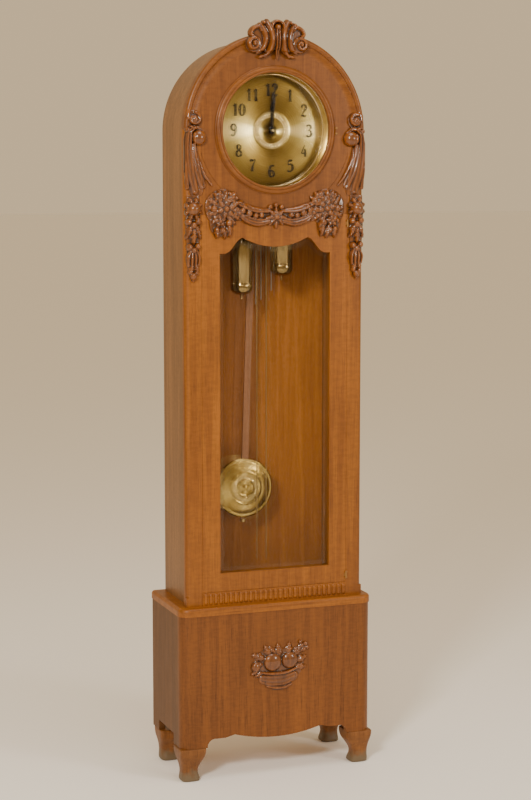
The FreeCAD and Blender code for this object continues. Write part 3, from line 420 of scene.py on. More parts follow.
# A carving is a height map over its board: strokes, leaves and balls are pressed in, the highest wins.
# All its measures are in mm: x from the middle of the clock, z from the foot of the node's own box.
reliefWork = {"least": 0.5, "edgeRounds": 3, "paintedShadeBlur": 14}


def newRelief(node, xSpan, zSpan, pitch):
    xs = np.arange(xSpan[0], xSpan[1] + pitch, pitch)
    zs = np.arange(zSpan[0], zSpan[1] + pitch, pitch)
    gridX, gridZ = np.meshgrid(xs, zs)
    return {"x": gridX, "z": gridZ, "carved": np.zeros_like(gridX), "mound": np.zeros_like(gridX),
            "pitch": pitch, "foot": round(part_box(node)[0].z / mm)}


# The part of the grid near some points, as slices.
def window(relief, xs, zs, margin):
    x0, z0, pitch = relief["x"][0, 0], relief["z"][0, 0], relief["pitch"]
    rows, columns = relief["x"].shape
    a = max(int((min(zs) - margin - z0) / pitch), 0)
    b = min(int((max(zs) + margin - z0) / pitch) + 2, rows)
    c = max(int((min(xs) - margin - x0) / pitch), 0)
    d = min(int((max(xs) + margin - x0) / pitch) + 2, columns)
    return slice(a, max(b, a)), slice(c, max(d, c))


def pressBall(relief, x, z, radius, height=None, layer="carved", power=0.5, squeeze=1.0):
    height = radius if height is None else height
    part = window(relief, [x], [z], radius)
    away = ((relief["x"][part] - x) / radius) ** 2 + ((relief["z"][part] - z) / (radius * squeeze)) ** 2
    rise = np.where(away < 1, height * np.clip(1 - away, 0, 1) ** power, 0)
    relief[layer][part] = np.maximum(relief[layer][part], rise)


# A carved stroke through (x, z) points. Flutes run along it, lobes scallop its edges, veins cross it.
def pressStroke(relief, points, widths, heights, flutes=0, depth=0.3, roundness=0.5, lobes=0, veins=0,
                layer="carved", steps=28):
    path = np.array([tuple(p) for p in smoothPath(points, steps)])
    reach = max(widths) * 0.75
    part = window(relief, path[:, 0], path[:, 1], reach)
    px, pz = relief["x"][part], relief["z"][part]
    if not px.size:
        return
    nearest = np.full(px.shape, 1e9)
    place = np.zeros(px.shape)
    side = np.zeros(px.shape)
    for index in range(steps):
        (ax, az), (bx, bz) = path[index], path[index + 1]
        dx, dz = bx - ax, bz - az
        length = max(dx * dx + dz * dz, 1e-9)
        raw = ((px - ax) * dx + (pz - az) * dz) / length
        share = np.clip(raw, 0, 1)
        away = np.hypot(px - ax - share * dx, pz - az - share * dz)
        closer = away < nearest
        nearest = np.where(closer, away, nearest)
        place = np.where(closer, (index + share) / steps, place)
        side = np.where(closer, np.sign(dx * (pz - az) - dz * (px - ax)), side)
    knots = np.linspace(0, 1, len(widths))
    half = np.interp(place, knots, widths) / 2
    tall = np.interp(place, np.linspace(0, 1, len(heights)), heights)
    if lobes:
        half = half * (1 + 0.17 * np.sin(place * lobes * 2 * math.pi))
    u = nearest / np.maximum(half, 0.3)
    rise = tall * np.clip(1 - u ** 2.4, 0, 1) ** roundness
    if flutes:
        rise = rise * (1 - depth * (0.5 + 0.5 * np.cos(math.pi * flutes * (u * side + 1))))
    if veins:
        rise = rise * (1 - 0.16 * (0.5 + 0.5 * np.cos(2 * math.pi * (place * veins - u * 0.9))))
    rise = np.where(u < 1, rise, 0)
    relief[layer][part] = np.maximum(relief[layer][part], rise)


# A leaf from its stalk at (x, z), pointing at an angle in degrees, with a hollow middle vein.
def pressLeaf(relief, x, z, angle, length, width, height, bend=0.0, lobes=3, tip=1.5):
    turn = math.radians(angle)
    points = []
    for share in (0, 0.35, 0.7, 1):
        sway = bend * length * share * share
        points.append((x + length * share * math.cos(turn) - sway * math.sin(turn),
                       z + length * share * math.sin(turn) + sway * math.cos(turn)))
    pressStroke(relief, points, [width * 0.4, width, width * 0.9, width * 0.55, 1.0],
                [height * 0.55, height, height, height * 0.8, tip], flutes=1, depth=0.42, lobes=lobes,
                veins=5, steps=16)


# A scroll that winds in towards its eye.
def pressVolute(relief, x, z, radius, turns, start, width, height, wind=1, shrink=0.7):
    points = []
    count = int(turns * 12) + 1
    for step in range(count):
        share = step / (count - 1)
        angle = math.radians(start) + wind * share * turns * 2 * math.pi
        reach = (radius - width / 2) * (1 - shrink * share)
        points.append((x + reach * math.cos(angle), z + reach * math.sin(angle)))
    pressBall(relief, x, z, radius, height * 0.45, power=0.3)
    pressStroke(relief, points, [width, width * 0.85, width * 0.6], [height * 0.75, height, height * 1.1],
                steps=max(40, count * 2))
    pressBall(relief, x, z, radius * 0.3, height * 1.25)


def pressFlower(relief, x, z, radius, petals, height, heart, turned=0):
    for petal in range(petals):
        angle = 360 * petal / petals + turned
        pressLeaf(relief, x + heart * 0.4 * math.cos(math.radians(angle)),
                  z + heart * 0.4 * math.sin(math.radians(angle)), angle, radius - heart * 0.4,
                  radius * 6.2 / petals * 0.8, height * 0.78, lobes=0, tip=height * 0.5)
    pressBall(relief, x, z, heart, height)


# The height map as a closed solid: carved front, side walls down to the board, and a flat back.
def finishRelief(name, relief, seat, body, replaced):
    carved = relief["carved"]
    total = np.where(carved > 0, carved + relief["mound"], relief["mound"])
    total = blurred(total, 1) * 0.5 + total * 0.5
    # Painted shade: how far each point lies below its blurred surroundings, kept per vertex to darken the
    # hollows.
    paintedShade = np.clip((blurred(total, reliefWork["paintedShadeBlur"]) - total) / 4 + 0.3, 0, 1)
    covered = total > reliefWork["least"]
    cells = covered[:-1, :-1] & covered[1:, :-1] & covered[:-1, 1:] & covered[1:, 1:]
    bm = bmesh.new()
    layer = bm.verts.layers.float.new("paintedShade")
    corner = {}
    for row, column in zip(*np.nonzero(cells)):
        ring = ((row, column), (row, column + 1), (row + 1, column + 1), (row + 1, column))
        for spot in ring:
            if spot not in corner:
                corner[spot] = bm.verts.new((relief["x"][spot] * mm, seat - total[spot] * mm,
                                             (relief["z"][spot] + relief["foot"]) * mm))
                corner[spot][layer] = paintedShade[spot]
        bm.faces.new([corner[spot] for spot in ring])
    for _ in range(reliefWork["edgeRounds"]):
        moved = {}
        for vert in bm.verts:
            if vert.is_boundary:
                near = [edge.other_vert(vert) for edge in vert.link_edges if edge.is_boundary]
                middle = sum((v.co for v in near), Vector()) / len(near)
                moved[vert] = vert.co.lerp(middle, 0.5)
        for vert, spot in moved.items():
            vert.co = spot
    front, rim = list(bm.faces), [edge for edge in bm.edges if edge.is_boundary]
    back = {}
    for vert in list(bm.verts):
        back[vert] = bm.verts.new((vert.co.x, seat, vert.co.z))
        # The hidden back takes full painted shade.
        back[vert][layer] = 1
    for face in front:
        bm.faces.new([back[vert] for vert in reversed(face.verts)])
    for edge in rim:
        a, b = edge.verts
        bm.faces.new((a, b, back[b], back[a]))
    finishPiece(name, bm, carvedOak, body, replaced)


# A height map blurred over its neighbours.
def blurred(values, times):
    for _ in range(times):
        edged = np.pad(values, 1, mode="edge")
        values = (edged[:-2, 1:-1] + edged[2:, 1:-1] + edged[1:-1, :-2] + edged[1:-1, 2:]
                  + edged[1:-1, 1:-1] * 2) / 6
    return values


crestWork = {"width": (-90, 90), "rise": (-2, 103), "pitch": 1.0, "beads": 4, "beadStep": (10, -6)}


# The shell on top of the arch: a fan of curled lobes either side of a middle rib, with a volute at each end.
def makeCrest():
    w = crestWork
    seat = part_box("shell_crest")[1].y
    r = newRelief("shell_crest", w["width"], w["rise"], w["pitch"])
    for s in (-1, 1):
        pressBall(r, s * 30, 58, 46, 6, "mound", 0.2, 0.85)
        pressBall(r, s * 62, 39, 22, 5, "mound", 0.2)
        pressVolute(r, s * 65, 38, 22, 1.1, 100 if s > 0 else 80, 13, 15, -s, 0.66)
        pressStroke(r, [(s * 66, 57), (s * 74, 65), (s * 68, 77), (s * 52, 83), (s * 44, 73)],
                    [10, 14, 13, 12, 8], [9, 12, 13, 12, 8], flutes=1, depth=0.25)
        pressStroke(r, [(s * 46, 88), (s * 36, 69), (s * 33, 49), (s * 40, 29), (s * 54, 17)],
                    [12, 17, 17, 16, 9], [9, 13, 14, 11, 5], flutes=1, depth=0.3)
        pressStroke(r, [(s * 28, 95), (s * 18, 73), (s * 15, 49), (s * 20, 25), (s * 34, 7)],
                    [18, 25, 22, 19, 9], [10, 15, 17, 14, 6], flutes=1, depth=0.45)
        for bead in range(w["beads"]):
            pressBall(r, s * (38 + w["beadStep"][0] * bead), 94 + w["beadStep"][1] * bead, 6, 12)
        pressLeaf(r, s * 26, 13, -18 if s > 0 else 198, 30, 13, 8, lobes=2)
    pressStroke(r, [(0, 85), (0, 58), (0, 31), (0, 2)], [15, 17, 15, 6], [13, 17, 16, 7], flutes=2,
                depth=0.45)
    pressStroke(r, [(-17, 75), (-14, 91), (0, 98), (14, 91), (17, 75)], [7, 9, 9, 9, 7],
                [12, 16, 18, 16, 12])
    pressBall(r, 0, 83, 9, 18)
    finishRelief("carved_crest", r, seat, "case", ["shell_crest"])


scrollWork = {"inner": 165, "outer": 252, "rise": (-15, 205), "pitch": 1.1}


# A volute with a ball under it, and the drapes that fall from it; the left is the right one mirrored.
def makeScrolls():
    w = scrollWork
    for s, side in ((-1, "left"), (1, "right")):
        r = newRelief("scroll_carvings", sorted((s * w["inner"], s * w["outer"])), w["rise"], w["pitch"])
        pressStroke(r, [(s * 236, 153), (s * 238, 107), (s * 232, 57), (s * 218, -1)], [22, 36, 46, 40],
                    [5, 5, 5, 3], layer="mound", roundness=0.25)
        pressVolute(r, s * 225, 181, 23, 0.8, 70, 13, 15, s, 0.5)
        pressBall(r, s * 224, 179, 12.5, 19)
        pressStroke(r, [(s * 236, 205), (s * 240, 193), (s * 240, 181)], [10, 12, 10], [7, 11, 13])
        pressBall(r, s * 243.5, 153, 7, 14)
        pressStroke(r, [(s * 236, 161), (s * 222, 157), (s * 208, 159)], [8, 11, 5], [12, 15, 6])
        pressBall(r, s * 212, 133, 21, 21)
        pressStroke(r, [(s * 200, 149), (s * 218, 159), (s * 236, 149), (s * 240, 127), (s * 240, 87),
                        (s * 234, 43), (s * 222, -3)],
                    [7, 11, 15, 19, 24, 28, 20], [9, 13, 14, 13, 12, 10, 5], flutes=2, depth=0.32, steps=56)
        pressStroke(r, [(s * 226, 115), (s * 226, 87), (s * 216, 49), (s * 200, 11)],
                    [12, 22, 28, 20], [9, 11, 10, 4], flutes=2, depth=0.32, steps=40)
        pressStroke(r, [(s * 218, 109), (s * 214, 81), (s * 198, 41), (s * 176, 11)],
                    [4, 9, 12, 7], [6, 10, 8, 4], flutes=1, depth=0.3, steps=40)
        pressStroke(r, [(s * 247, 97), (s * 247, 57), (s * 244, 5)], [5, 8, 11], [6, 9, 7])
        finishRelief("carved_scroll_" + side, r, caseFront, "case", ["scroll_carvings"] if s < 0 else [])


festoonWork = {"middle": 228, "halfWide": 23, "rise": (-2, 224), "pitch": 1.1, "petalAngle": 45}


# A ball in a ring of leaves, with small balls, leaves and a tassel below it, on the front of each stile.
def makeFestoons():
    w = festoonWork
    for s, side in ((-1, "left"), (1, "right")):
        x = s * w["middle"]
        r = newRelief("festoon_carvings", (x - w["halfWide"], x + w["halfWide"]), w["rise"], w["pitch"])
        pressStroke(r, [(x, 221), (x, 156), (x, 96), (x, 46), (x, 8)], [36, 42, 34, 34, 12],
                    [5, 6, 5, 5, 3], layer="mound", roundness=0.25)
        for angle in range(0, 360, w["petalAngle"]):
            turned = math.radians(angle + 22)
            pressLeaf(r, x + 11 * math.cos(turned), 190 + 13 * math.sin(turned), angle + 22, 19, 17, 11,
                      bend=0.15, lobes=2)
        pressBall(r, x, 190, 18.5, 21)
        for dx, dz, radius in ((-13, -31, 9), (12, -30, 9.5), (0, -40, 10)):
            pressBall(r, x + dx, 188 + dz, radius, radius + 4)
        pressLeaf(r, x - 4, 150, 250, 44, 20, 11, bend=-0.1)
        pressLeaf(r, x + 5, 150, 288, 44, 20, 12, bend=0.1)
        pressLeaf(r, x, 140, 270, 46, 19, 15, lobes=3)
        for dx, dz, radius in ((-11, 92, 9), (11, 94, 9), (0, 84, 9)):
            pressBall(r, x + dx, dz, radius, radius + 5)
        for dx, low, width in ((-15, 44, 11), (-5, 36, 12), (5, 36, 12), (15, 46, 11)):
            pressStroke(r, [(x + dx * 0.5, 84), (x + dx, 64), (x + dx * 0.9, low)],
                        [8, width, 7], [8, 12, 7], flutes=1, depth=0.25)
        pressLeaf(r, x - 3, 50, 258, 34, 16, 10)
        pressLeaf(r, x + 5, 50, 285, 32, 16, 11)
        for dx, dz, radius in ((-9, 28, 7), (9, 26, 7), (0, 17, 10)):
            pressBall(r, x + dx, dz, radius, radius + 3)
        pressLeaf(r, x, 12, 270, 12, 8, 5, lobes=0)
        finishRelief("carved_festoon_" + side, r, caseFront, "case", ["festoon_carvings"] if s < 0 else [])


garlandWork = {"width": (-203, 190), "rise": (-4, 140), "pitch": 1.3, "spray": 146, "seed": 4,
               "hingeSide": 180, "hingeLimit": 7.5}


# Two sprays of flowers and leaves and the swag between them; they open with the door.
def makeGarland():
    w = garlandWork
    r = newRelief("door_garland", w["width"], w["rise"], w["pitch"])
    draw = random.Random(w["seed"])
    for s in (-1, 1):
        x, z = s * w["spray"], 78
        pressBall(r, x, z + 4, 50, 6, "mound", 0.25, 1.0)
        pressBall(r, x + s * 4, z - 34, 34, 6, "mound", 0.25, 1.2)
        outer = [(96, 42, 24), (66, 42, 22), (126, 46, 24), (152, 52, 22), (180, 50, 21), (208, 46, 20),
                 (236, 44, 20), (38, 38, 20), (10, 34, 20), (-20, 34, 20), (-48, 40, 20)]
        for angle, length, width in outer:
            turned = angle if s > 0 else 180 - angle
            away = math.radians(turned)
            pressLeaf(r, x + 12 * math.cos(away), z + 12 * math.sin(away), turned, length, width,
                      10 if math.cos(math.radians(angle)) < 0.5 else 7, bend=draw.uniform(-0.25, 0.25))
        pressFlower(r, x - s * 6, z + 2, 30, 6, 17, 10, 15)
        pressFlower(r, x - s * 42, z - 10, 19, 5, 13, 7, 40)
        pressFlower(r, x + s * 12, z + 34, 17, 5, 12, 6, 10)
        pressFlower(r, x - s * 26, z + 32, 18, 5, 13, 6, 60)
        pressFlower(r, x + s * 10, z - 30, 18, 5, 13, 6, 25)
        balls = ((27, 2, 10), (-14, -34, 10), (4, -54, 9), (19, -52, 8), (-58, 8, 9), (-8, 24, 7))
        for dx, dz, radius in balls:
            pressBall(r, x + s * dx, z + dz, radius, min(radius + 4, 12 if dx > 20 else 15))
        for dx, top, low in ((-14, -34, -76), (0, -44, -80), (15, -46, -78)):
            pressLeaf(r, x + s * dx, z + top, 270 + 8 * s * (1 if dx > 0 else -1), top - low, 20, 11)
        pressStroke(r, [(s * 108, 80), (s * 80, 66), (s * 50, 58), (s * 16, 60)], [26, 42, 44, 34],
                    [5, 5, 5, 5], layer="mound", roundness=0.25)
        pressStroke(r, [(s * 106, 68), (s * 80, 52), (s * 50, 44), (s * 18, 49)], [12, 23, 25, 17],
                    [6, 12, 12, 10], flutes=3, depth=0.3, steps=40)
        pressStroke(r, [(s * 108, 96), (s * 82, 85), (s * 54, 77), (s * 22, 75)], [12, 20, 20, 13],
                    [6, 11, 11, 9], flutes=2, depth=0.3, steps=40)
        for dx, dz, radius in ((94, 75, 9), (76, 68, 10), (58, 62, 8.5), (42, 63, 8)):
            pressBall(r, s * dx, dz, radius, radius + 3)
        pressLeaf(r, s * 84, 62, 262 if s > 0 else 278, 22, 15, 10)
        pressLeaf(r, s * 66, 74, 70 if s > 0 else 110, 20, 14, 9)
    pressFlower(r, 0, 57, 30, 8, 15, 9, 0)
    for dx, dz in ((-16, 84), (0, 89), (16, 84)):
        pressBall(r, dx, dz, 7.5, 10)
    limit = np.where(r["x"] > w["hingeSide"], w["hingeLimit"], 40)     # low by the hinges, so the door clears
    r["carved"] = np.minimum(r["carved"], np.maximum(limit - r["mound"], 0.6) * (r["carved"] > 0))
    finishRelief("carved_garland", r, caseFront, "door", ["door_garland"])


fruitWork = {"width": (-88, 90), "rise": (-8, 130), "pitch": 1.1}


# A low basket of apples and grapes with leaves round them, on the front of the base.
def makeFruit():
    w = fruitWork
    r = newRelief("fruit_carving", w["width"], w["rise"], w["pitch"])
    for x, z, radius in ((-30, 62, 44), (30, 62, 44), (0, 27, 38)):
        pressBall(r, x, z, radius, 2.5, "mound", 0.2)
    pressStroke(r, [(-44, 24), (-20, 19), (14, 19), (44, 27)], [26, 34, 34, 26], [5, 6, 6, 5], roundness=0.3,
                flutes=3, depth=0.25)
    pressStroke(r, [(-34, 4), (-8, -1), (18, -1), (38, 6)], [5, 8, 8, 5], [5, 8, 8, 5])
    pressStroke(r, [(-56, 44), (-18, 39), (18, 39), (56, 50)], [6, 9, 9, 6], [6, 9, 9, 6])
    leaves = [(-42, 80, 152, 40, 24), (-48, 66, 178, 30, 20), (-26, 90, 112, 32, 24), (2, 88, 92, 34, 26),
              (26, 90, 74, 34, 24), (46, 84, 48, 38, 24), (50, 68, 14, 36, 22), (50, 54, -14, 34, 20),
              (-60, 50, 205, 24, 16), (-46, 44, 200, 28, 14), (-10, 94, 128, 28, 18), (60, 92, 30, 26, 16)]
    for x, z, angle, length, width in leaves:
        pressLeaf(r, x, z, angle, length, width, 8, bend=0.12)
    pressBall(r, -17.6, 70, 25, 14)
    pressBall(r, 31, 72, 23, 13.5)
    pressBall(r, -66, 60, 13, 10)
    for dx, dz, radius in ((66, 108, 7), (77, 112, 7), (72, 98, 7), (82, 102, 6), (62, 118, 6)):
        pressBall(r, dx, dz, radius, radius + 1)
    finishRelief("carved_fruit", r, baseFront, "case", ["fruit_carving"])


makeCrest()
makeScrolls()
makeFestoons()
makeGarland()
makeFruit()
print("stage: carvings made")


# Turns (radius, place along the axis) in mm about an axis through a centre given in metres.
def addLathe(bm, profile, centre, axis="z", segments=64):
    rings = []
    for radius, place in profile:
        ring = []
        for step in range(segments if radius > 0.001 else 1):
            angle = step / segments * 2 * math.pi
            a, b = radius * mm * math.cos(angle), radius * mm * math.sin(angle)
            spot = {"z": (a, b, place * mm), "y": (a, place * mm, b), "x": (place * mm, a, b)}[axis]
            ring.append(bm.verts.new(Vector(centre) + Vector(spot)))
        rings.append(ring)
    for one, two in zip(rings, rings[1:]):
        if len(one) == 1 and len(two) == 1:
            continue
        for step in range(segments):
            following = (step + 1) % segments
            if len(one) == 1:
                bm.faces.new((one[0], two[step], two[following]))
            elif len(two) == 1:
                bm.faces.new((one[step], two[0], one[following]))
            else:
                bm.faces.new((one[step], two[step], two[following], one[following]))


# Geometry Nodes set one sample mesh at every place of a row of points.
def repeatedPiece(name, sample, places, turns, material, body, replaced=(), ride=True):
    points = bpy.data.meshes.new(name + "Points")
    points.from_pydata([tuple(p) for p in places], [], [])
    turning = points.attributes.new("turn", "FLOAT_VECTOR", "POINT")
    for index, turn in enumerate(turns):
        turning.data[index].vector = turn
    sampleMesh = bpy.data.meshes.new(name + "Sample")
    bmesh.ops.recalc_face_normals(sample, faces=sample.faces)
    sample.to_mesh(sampleMesh)
    sample.free()
    sampleMesh.shade_smooth()
    sampleObject = bpy.data.objects.new(name + "Sample", sampleMesh)
    row = bpy.data.objects.new(name + "Row", points)
    bpy.context.scene.collection.objects.link(row)
    bpy.context.scene.collection.objects.link(sampleObject)
    tree = bpy.data.node_groups.new(name + "Tree", "GeometryNodeTree")
    tree.interface.new_socket("Geometry", in_out="INPUT", socket_type="NodeSocketGeometry")
    inputs = {}
    for label, kind in (("Sample", "NodeSocketObject"), ("Size", "NodeSocketFloat"),
                        ("Finish", "NodeSocketMaterial")):
        inputs[label] = tree.interface.new_socket(label, in_out="INPUT", socket_type=kind).identifier
    tree.interface.new_socket("Geometry", in_out="OUTPUT", socket_type="NodeSocketGeometry")
    start = tree.nodes.new("NodeGroupInput")
    end = tree.nodes.new("NodeGroupOutput")
    info = tree.nodes.new("GeometryNodeObjectInfo")
    turned = tree.nodes.new("GeometryNodeInputNamedAttribute")
    turned.data_type = "FLOAT_VECTOR"
    turned.inputs["Name"].default_value = "turn"
    setter = tree.nodes.new("GeometryNodeInstanceOnPoints")
    real = tree.nodes.new("GeometryNodeRealizeInstances")
    finish = tree.nodes.new("GeometryNodeSetMaterial")
    link = tree.links.new
    link(start.outputs["Sample"], info.inputs["Object"])
    link(start.outputs["Geometry"], setter.inputs["Points"])
    link(info.outputs["Geometry"], setter.inputs["Instance"])
    link(turned.outputs["Attribute"], setter.inputs["Rotation"])
    link(start.outputs["Size"], setter.inputs["Scale"])
    link(setter.outputs["Instances"], real.inputs["Geometry"])
    link(real.outputs["Geometry"], finish.inputs["Geometry"])
    link(start.outputs["Finish"], finish.inputs["Material"])
    link(finish.outputs["Geometry"], end.inputs["Geometry"])
    modifier = row.modifiers.new(name, "NODES")
    modifier.node_group = tree
    modifier[inputs["Sample"]] = sampleObject
    modifier[inputs["Size"]] = 1.0
    modifier[inputs["Finish"]] = material
    evaluated = row.evaluated_get(bpy.context.evaluated_depsgraph_get())
    mesh = bpy.data.meshes.new_from_object(evaluated)
    mesh.name = name
    row.modifiers.clear()
    bpy.data.objects.remove(row)
    bpy.data.objects.remove(sampleObject)
    piece = bpy.data.objects.new(name, mesh)
    bpy.context.scene.collection.objects.link(piece)
    if not ride:
        return piece
    return settle(piece, body, replaced)


reedRow = {"count": 29, "pitch": 14.05, "reedWidth": 10.6, "relief": 4.2, "margin": 2.6, "tail": 5}


# The rail under the door: half-round reeds with domed tops, with a plain fillet above and below.
def makeReeds():
    s = reedRow
    lowest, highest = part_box("reeded_rail")
    front = lowest.y
    tall = (highest.z - lowest.z) / mm - 2 * s["margin"]
    sample = bmesh.new()
    rows = []
    steps, across = 14, 10
    for step in range(steps + 1):
        z = -tall / 2 + tall * step / steps
        end = min(1, (tall / 2 - abs(z)) / s["tail"])
        swell = math.sqrt(max(1 - (1 - end) ** 2, 0.0))
        row = []
        for k in range(across + 1):
            turn = math.pi * k / across
            x = s["reedWidth"] / 2 * -math.cos(turn) * mm * (0.4 + 0.6 * swell)
            row.append(sample.verts.new((x, -s["relief"] * math.sin(turn) * mm * swell, z * mm)))
        rows.append(row)
    for one, two in zip(rows, rows[1:]):
        for a, b, c, d in zip(one, one[1:], two[1:], two):
            sample.faces.new((a, b, c, d))
        sample.faces.new((one[-1], one[0], two[0], two[-1]))
    middle = (lowest.x + highest.x) / 2
    centre = (lowest.z + highest.z) / 2
    places = [(middle + (k - (s["count"] - 1) / 2) * s["pitch"] * mm, front + 0.2 * mm, centre)
              for k in range(s["count"])]
    repeatedPiece("rail_reeds", sample, places, [(0, 0, 0)] * s["count"], oakAcross, "case", ())


# Each stroke's points in a field 54 wide and 100 tall, and its widths along them.
digitStrokes = {
    "0": [([(27, 100), (8, 80), (4, 50), (8, 20), (27, 0), (46, 20), (50, 50), (46, 80), (27, 100)],
           [6, 14, 17, 14, 6, 14, 17, 14, 6])],
    "1": [([(4, 80), (18, 86), (27, 99)], [5, 8, 14]), ([(27, 100), (27, 50), (27, 0)], [16, 15, 17]),
          ([(12, 2), (42, 2)], [5, 5])],
    "2": [([(5, 74), (12, 94), (28, 99), (45, 88), (44, 66), (28, 42), (12, 20), (4, 4)],
           [13, 9, 9, 14, 15, 10, 7, 7]), ([(4, 5), (18, 10), (36, 3), (52, 14)], [7, 12, 13, 5])],
    "3": [([(6, 86), (18, 98), (38, 95), (46, 78), (36, 60), (20, 54)], [11, 8, 11, 14, 9, 5]),
          ([(20, 54), (42, 49), (51, 28), (42, 7), (22, 0), (4, 13)], [5, 10, 16, 12, 8, 12])],
    "4": [([(38, 99), (20, 65), (3, 31)], [6, 7, 6]), ([(3, 31), (30, 30), (56, 31)], [6, 8, 6]),
          ([(40, 66), (40, 30), (40, 0)], [14, 15, 16])],
    "5": [([(14, 97), (11, 76), (8, 55)], [6, 6, 6]), ([(14, 94), (32, 91), (50, 98)], [13, 13, 5]),
          ([(8, 55), (28, 63), (47, 50), (50, 25), (34, 3), (15, 0), (3, 12)], [5, 9, 14, 16, 9, 8, 12])],
    "6": [([(49, 88), (34, 98), (15, 80), (6, 42), (14, 8), (29, 0), (46, 11), (49, 32), (35, 51), (18, 48),
            (8, 33)], [11, 8, 12, 16, 12, 7, 12, 15, 9, 7, 5])],
    "7": [([(4, 80), (9, 94), (24, 91), (40, 97), (53, 96)], [6, 13, 13, 8, 5]),
          ([(53, 96), (34, 60), (24, 30), (22, 0)], [5, 9, 14, 17])],
    "8": [([(27, 55), (13, 68), (12, 87), (27, 99), (42, 87), (41, 68), (27, 55)], [8, 11, 12, 6, 12, 11, 8]),
          ([(27, 53), (8, 38), (7, 13), (27, 1), (47, 13), (46, 38), (27, 53)], [8, 13, 14, 6, 14, 13, 8])],
}
digitStrokes["9"] = [([(54 - x, 100 - z) for x, z in points], widths)
                     for points, widths in digitStrokes["6"]]

dialWork = {
    "numeralRadius": 105, "numeralTall": 31, "numeralDeep": 1.0, "slim": 0.95, "gap": 0.6, "bold": 1.45,
    "hole": 4.5, "linerRadius": 149.6, "linerReach": 27.5,
    "ringInner": 34, "ringOuter": 48, "ringRim": 1.3, "motifs": 22, "motifRadius": 41, "motifSize": 1.55,
}


# A flat raised stroke that faces the front; points and widths in metres.
def addStroke(bm, points, widths, front, deep, steps=26):
    path = smoothPath(points, steps)
    rows = []
    for index, place in enumerate(path):
        t = index / steps
        direction = (path[min(index + 1, steps)] - path[max(index - 1, 0)]).normalized()
        side = Vector((-direction.y, direction.x)) * along(widths, t) / 2
        shoulder = side * 0.72
        rows.append([bm.verts.new((place.x + o.x, y, place.y + o.y))
                     for o, y in ((side, front + deep), (side, front + deep * 0.35), (shoulder, front),
                                  (-shoulder, front), (-side, front + deep * 0.35), (-side, front + deep))])
    for one, two in zip(rows, rows[1:]):
        for k in range(6):
            bm.faces.new((one[k], one[(k + 1) % 6], two[(k + 1) % 6], two[k]))
    bm.faces.new(rows[0])
    bm.faces.new(list(reversed(rows[-1])))


def makeNumerals():
    s = dialWork
    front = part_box("dial_numerals")[0].y
    bm = bmesh.new()
    unit = s["numeralTall"] * mm / 100
    for hour in range(1, 13):
        angle = math.radians(hour * 30)
        x = dialCentre.x + s["numeralRadius"] * mm * math.sin(angle)
        z = dialCentre.z + s["numeralRadius"] * mm * math.cos(angle)
        digits = str(hour)
        for place, digit in enumerate(digits):
            middle = x + (place - (len(digits) - 1) / 2) * s["numeralTall"] * mm * s["gap"]
            for points, widths in digitStrokes[digit]:
                placed = [(middle + (px - 27) * unit * s["slim"], z + (pz - 50) * unit) for px, pz in points]
                addStroke(bm, placed, [w * unit * s["bold"] for w in widths], front, s["numeralDeep"] * mm)
    finishPiece("dial_numbers", bm, blackEnamel, "case", ["dial_numerals"], smooth=False)


# Places evenly round a circle that faces the front, and the turn that points each one outwards.
def aroundCircle(centre, radius, count):
    angles = [k * 2 * math.pi / count for k in range(count)]
    places = [(centre.x + radius * mm * math.sin(a), centre.y, centre.z + radius * mm * math.cos(a))
              for a in angles]
    return places, [(0, a, 0) for a in angles]


# The brushed plate, its shine painted into its colour, with its raised polished lip, and the cast ring round
# the hands.
def makeDial():
    s = dialWork
    front, hole = dialLow.y, s["hole"]
    edge = (dialHigh.x - dialLow.x) / 2 / mm
    bm = bmesh.new()
    deep = (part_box("dial_plate")[1].y - front) / mm
    profile = [(hole, deep), (hole, 0), (52, 0), (52.6, 0.25), (53.2, 0)]
    profile += [(edge - 13, 0), (edge - 12, 0.3), (edge - 11, 0), (edge - 0.5, 0), (edge, 0.5), (edge, deep)]
    addLathe(bm, profile + [(hole, deep)], (dialCentre.x, front, dialCentre.z), "y", 160)
    finishPiece("dial_face", bm, dialBrassPaintedShine, "case", ["dial_plate"])
    bm = bmesh.new()
    rim, reach = s["linerRadius"], s["linerReach"]
    lip = [(rim, 0), (rim, -reach), (rim - 0.9, -reach - 0.4), (rim - 1.5, -reach + 1), (rim - 2.4, -4),
           (rim - 5.5, -1.6), (rim - 7, 0)]
    addLathe(bm, lip + lip[:1], (dialCentre.x, front, dialCentre.z), "y", 160)
    finishPiece("dial_lip", bm, brightBrass, "case", ())
    bm = bmesh.new()
    lowest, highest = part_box("dial_ornament")
    inner, outer, thick = s["ringInner"], s["ringOuter"], (highest.y - lowest.y) / mm
    for a, b in ((inner, inner + s["ringRim"]), (outer - s["ringRim"], outer)):
        ring = [(a, thick), (a, thick * 0.4), ((a + b) / 2, 0), (b, thick * 0.4), (b, thick)]
        addLathe(bm, ring + ring[:1], (dialCentre.x, lowest.y, dialCentre.z), "y", 120)
    finishPiece("dial_ring_rims", bm, castBrass, "case", ["dial_ornament"])
    motif = bmesh.new()
    unit = s["motifSize"] * mm
    curl = [(0.2, -3.3), (3.2, -2.4), (4.2, 0.4), (2.4, 2.2), (1.0, 0.6), (2.2, -0.6)]
    curlWidths = [w * unit for w in (0.9, 1.3, 1.2, 1.0, 0.8, 1.2)]
    for sign in (-1, 1):
        addStroke(motif, [(sign * x * unit, z * unit) for x, z in curl], curlWidths, 0, thick * mm, 18)
    addStroke(motif, [(0, -3.3 * unit), (0, 0), (0, 3.6 * unit)], [1.2 * unit, 1.9 * unit, 0.8 * unit], 0,
              thick * mm, 6)
    centre = Vector((dialCentre.x, lowest.y, dialCentre.z))
    places, turns = aroundCircle(centre, s["motifRadius"], s["motifs"])
    repeatedPiece("dial_ring_scrolls", motif, places, turns, castBrass, "case", ())


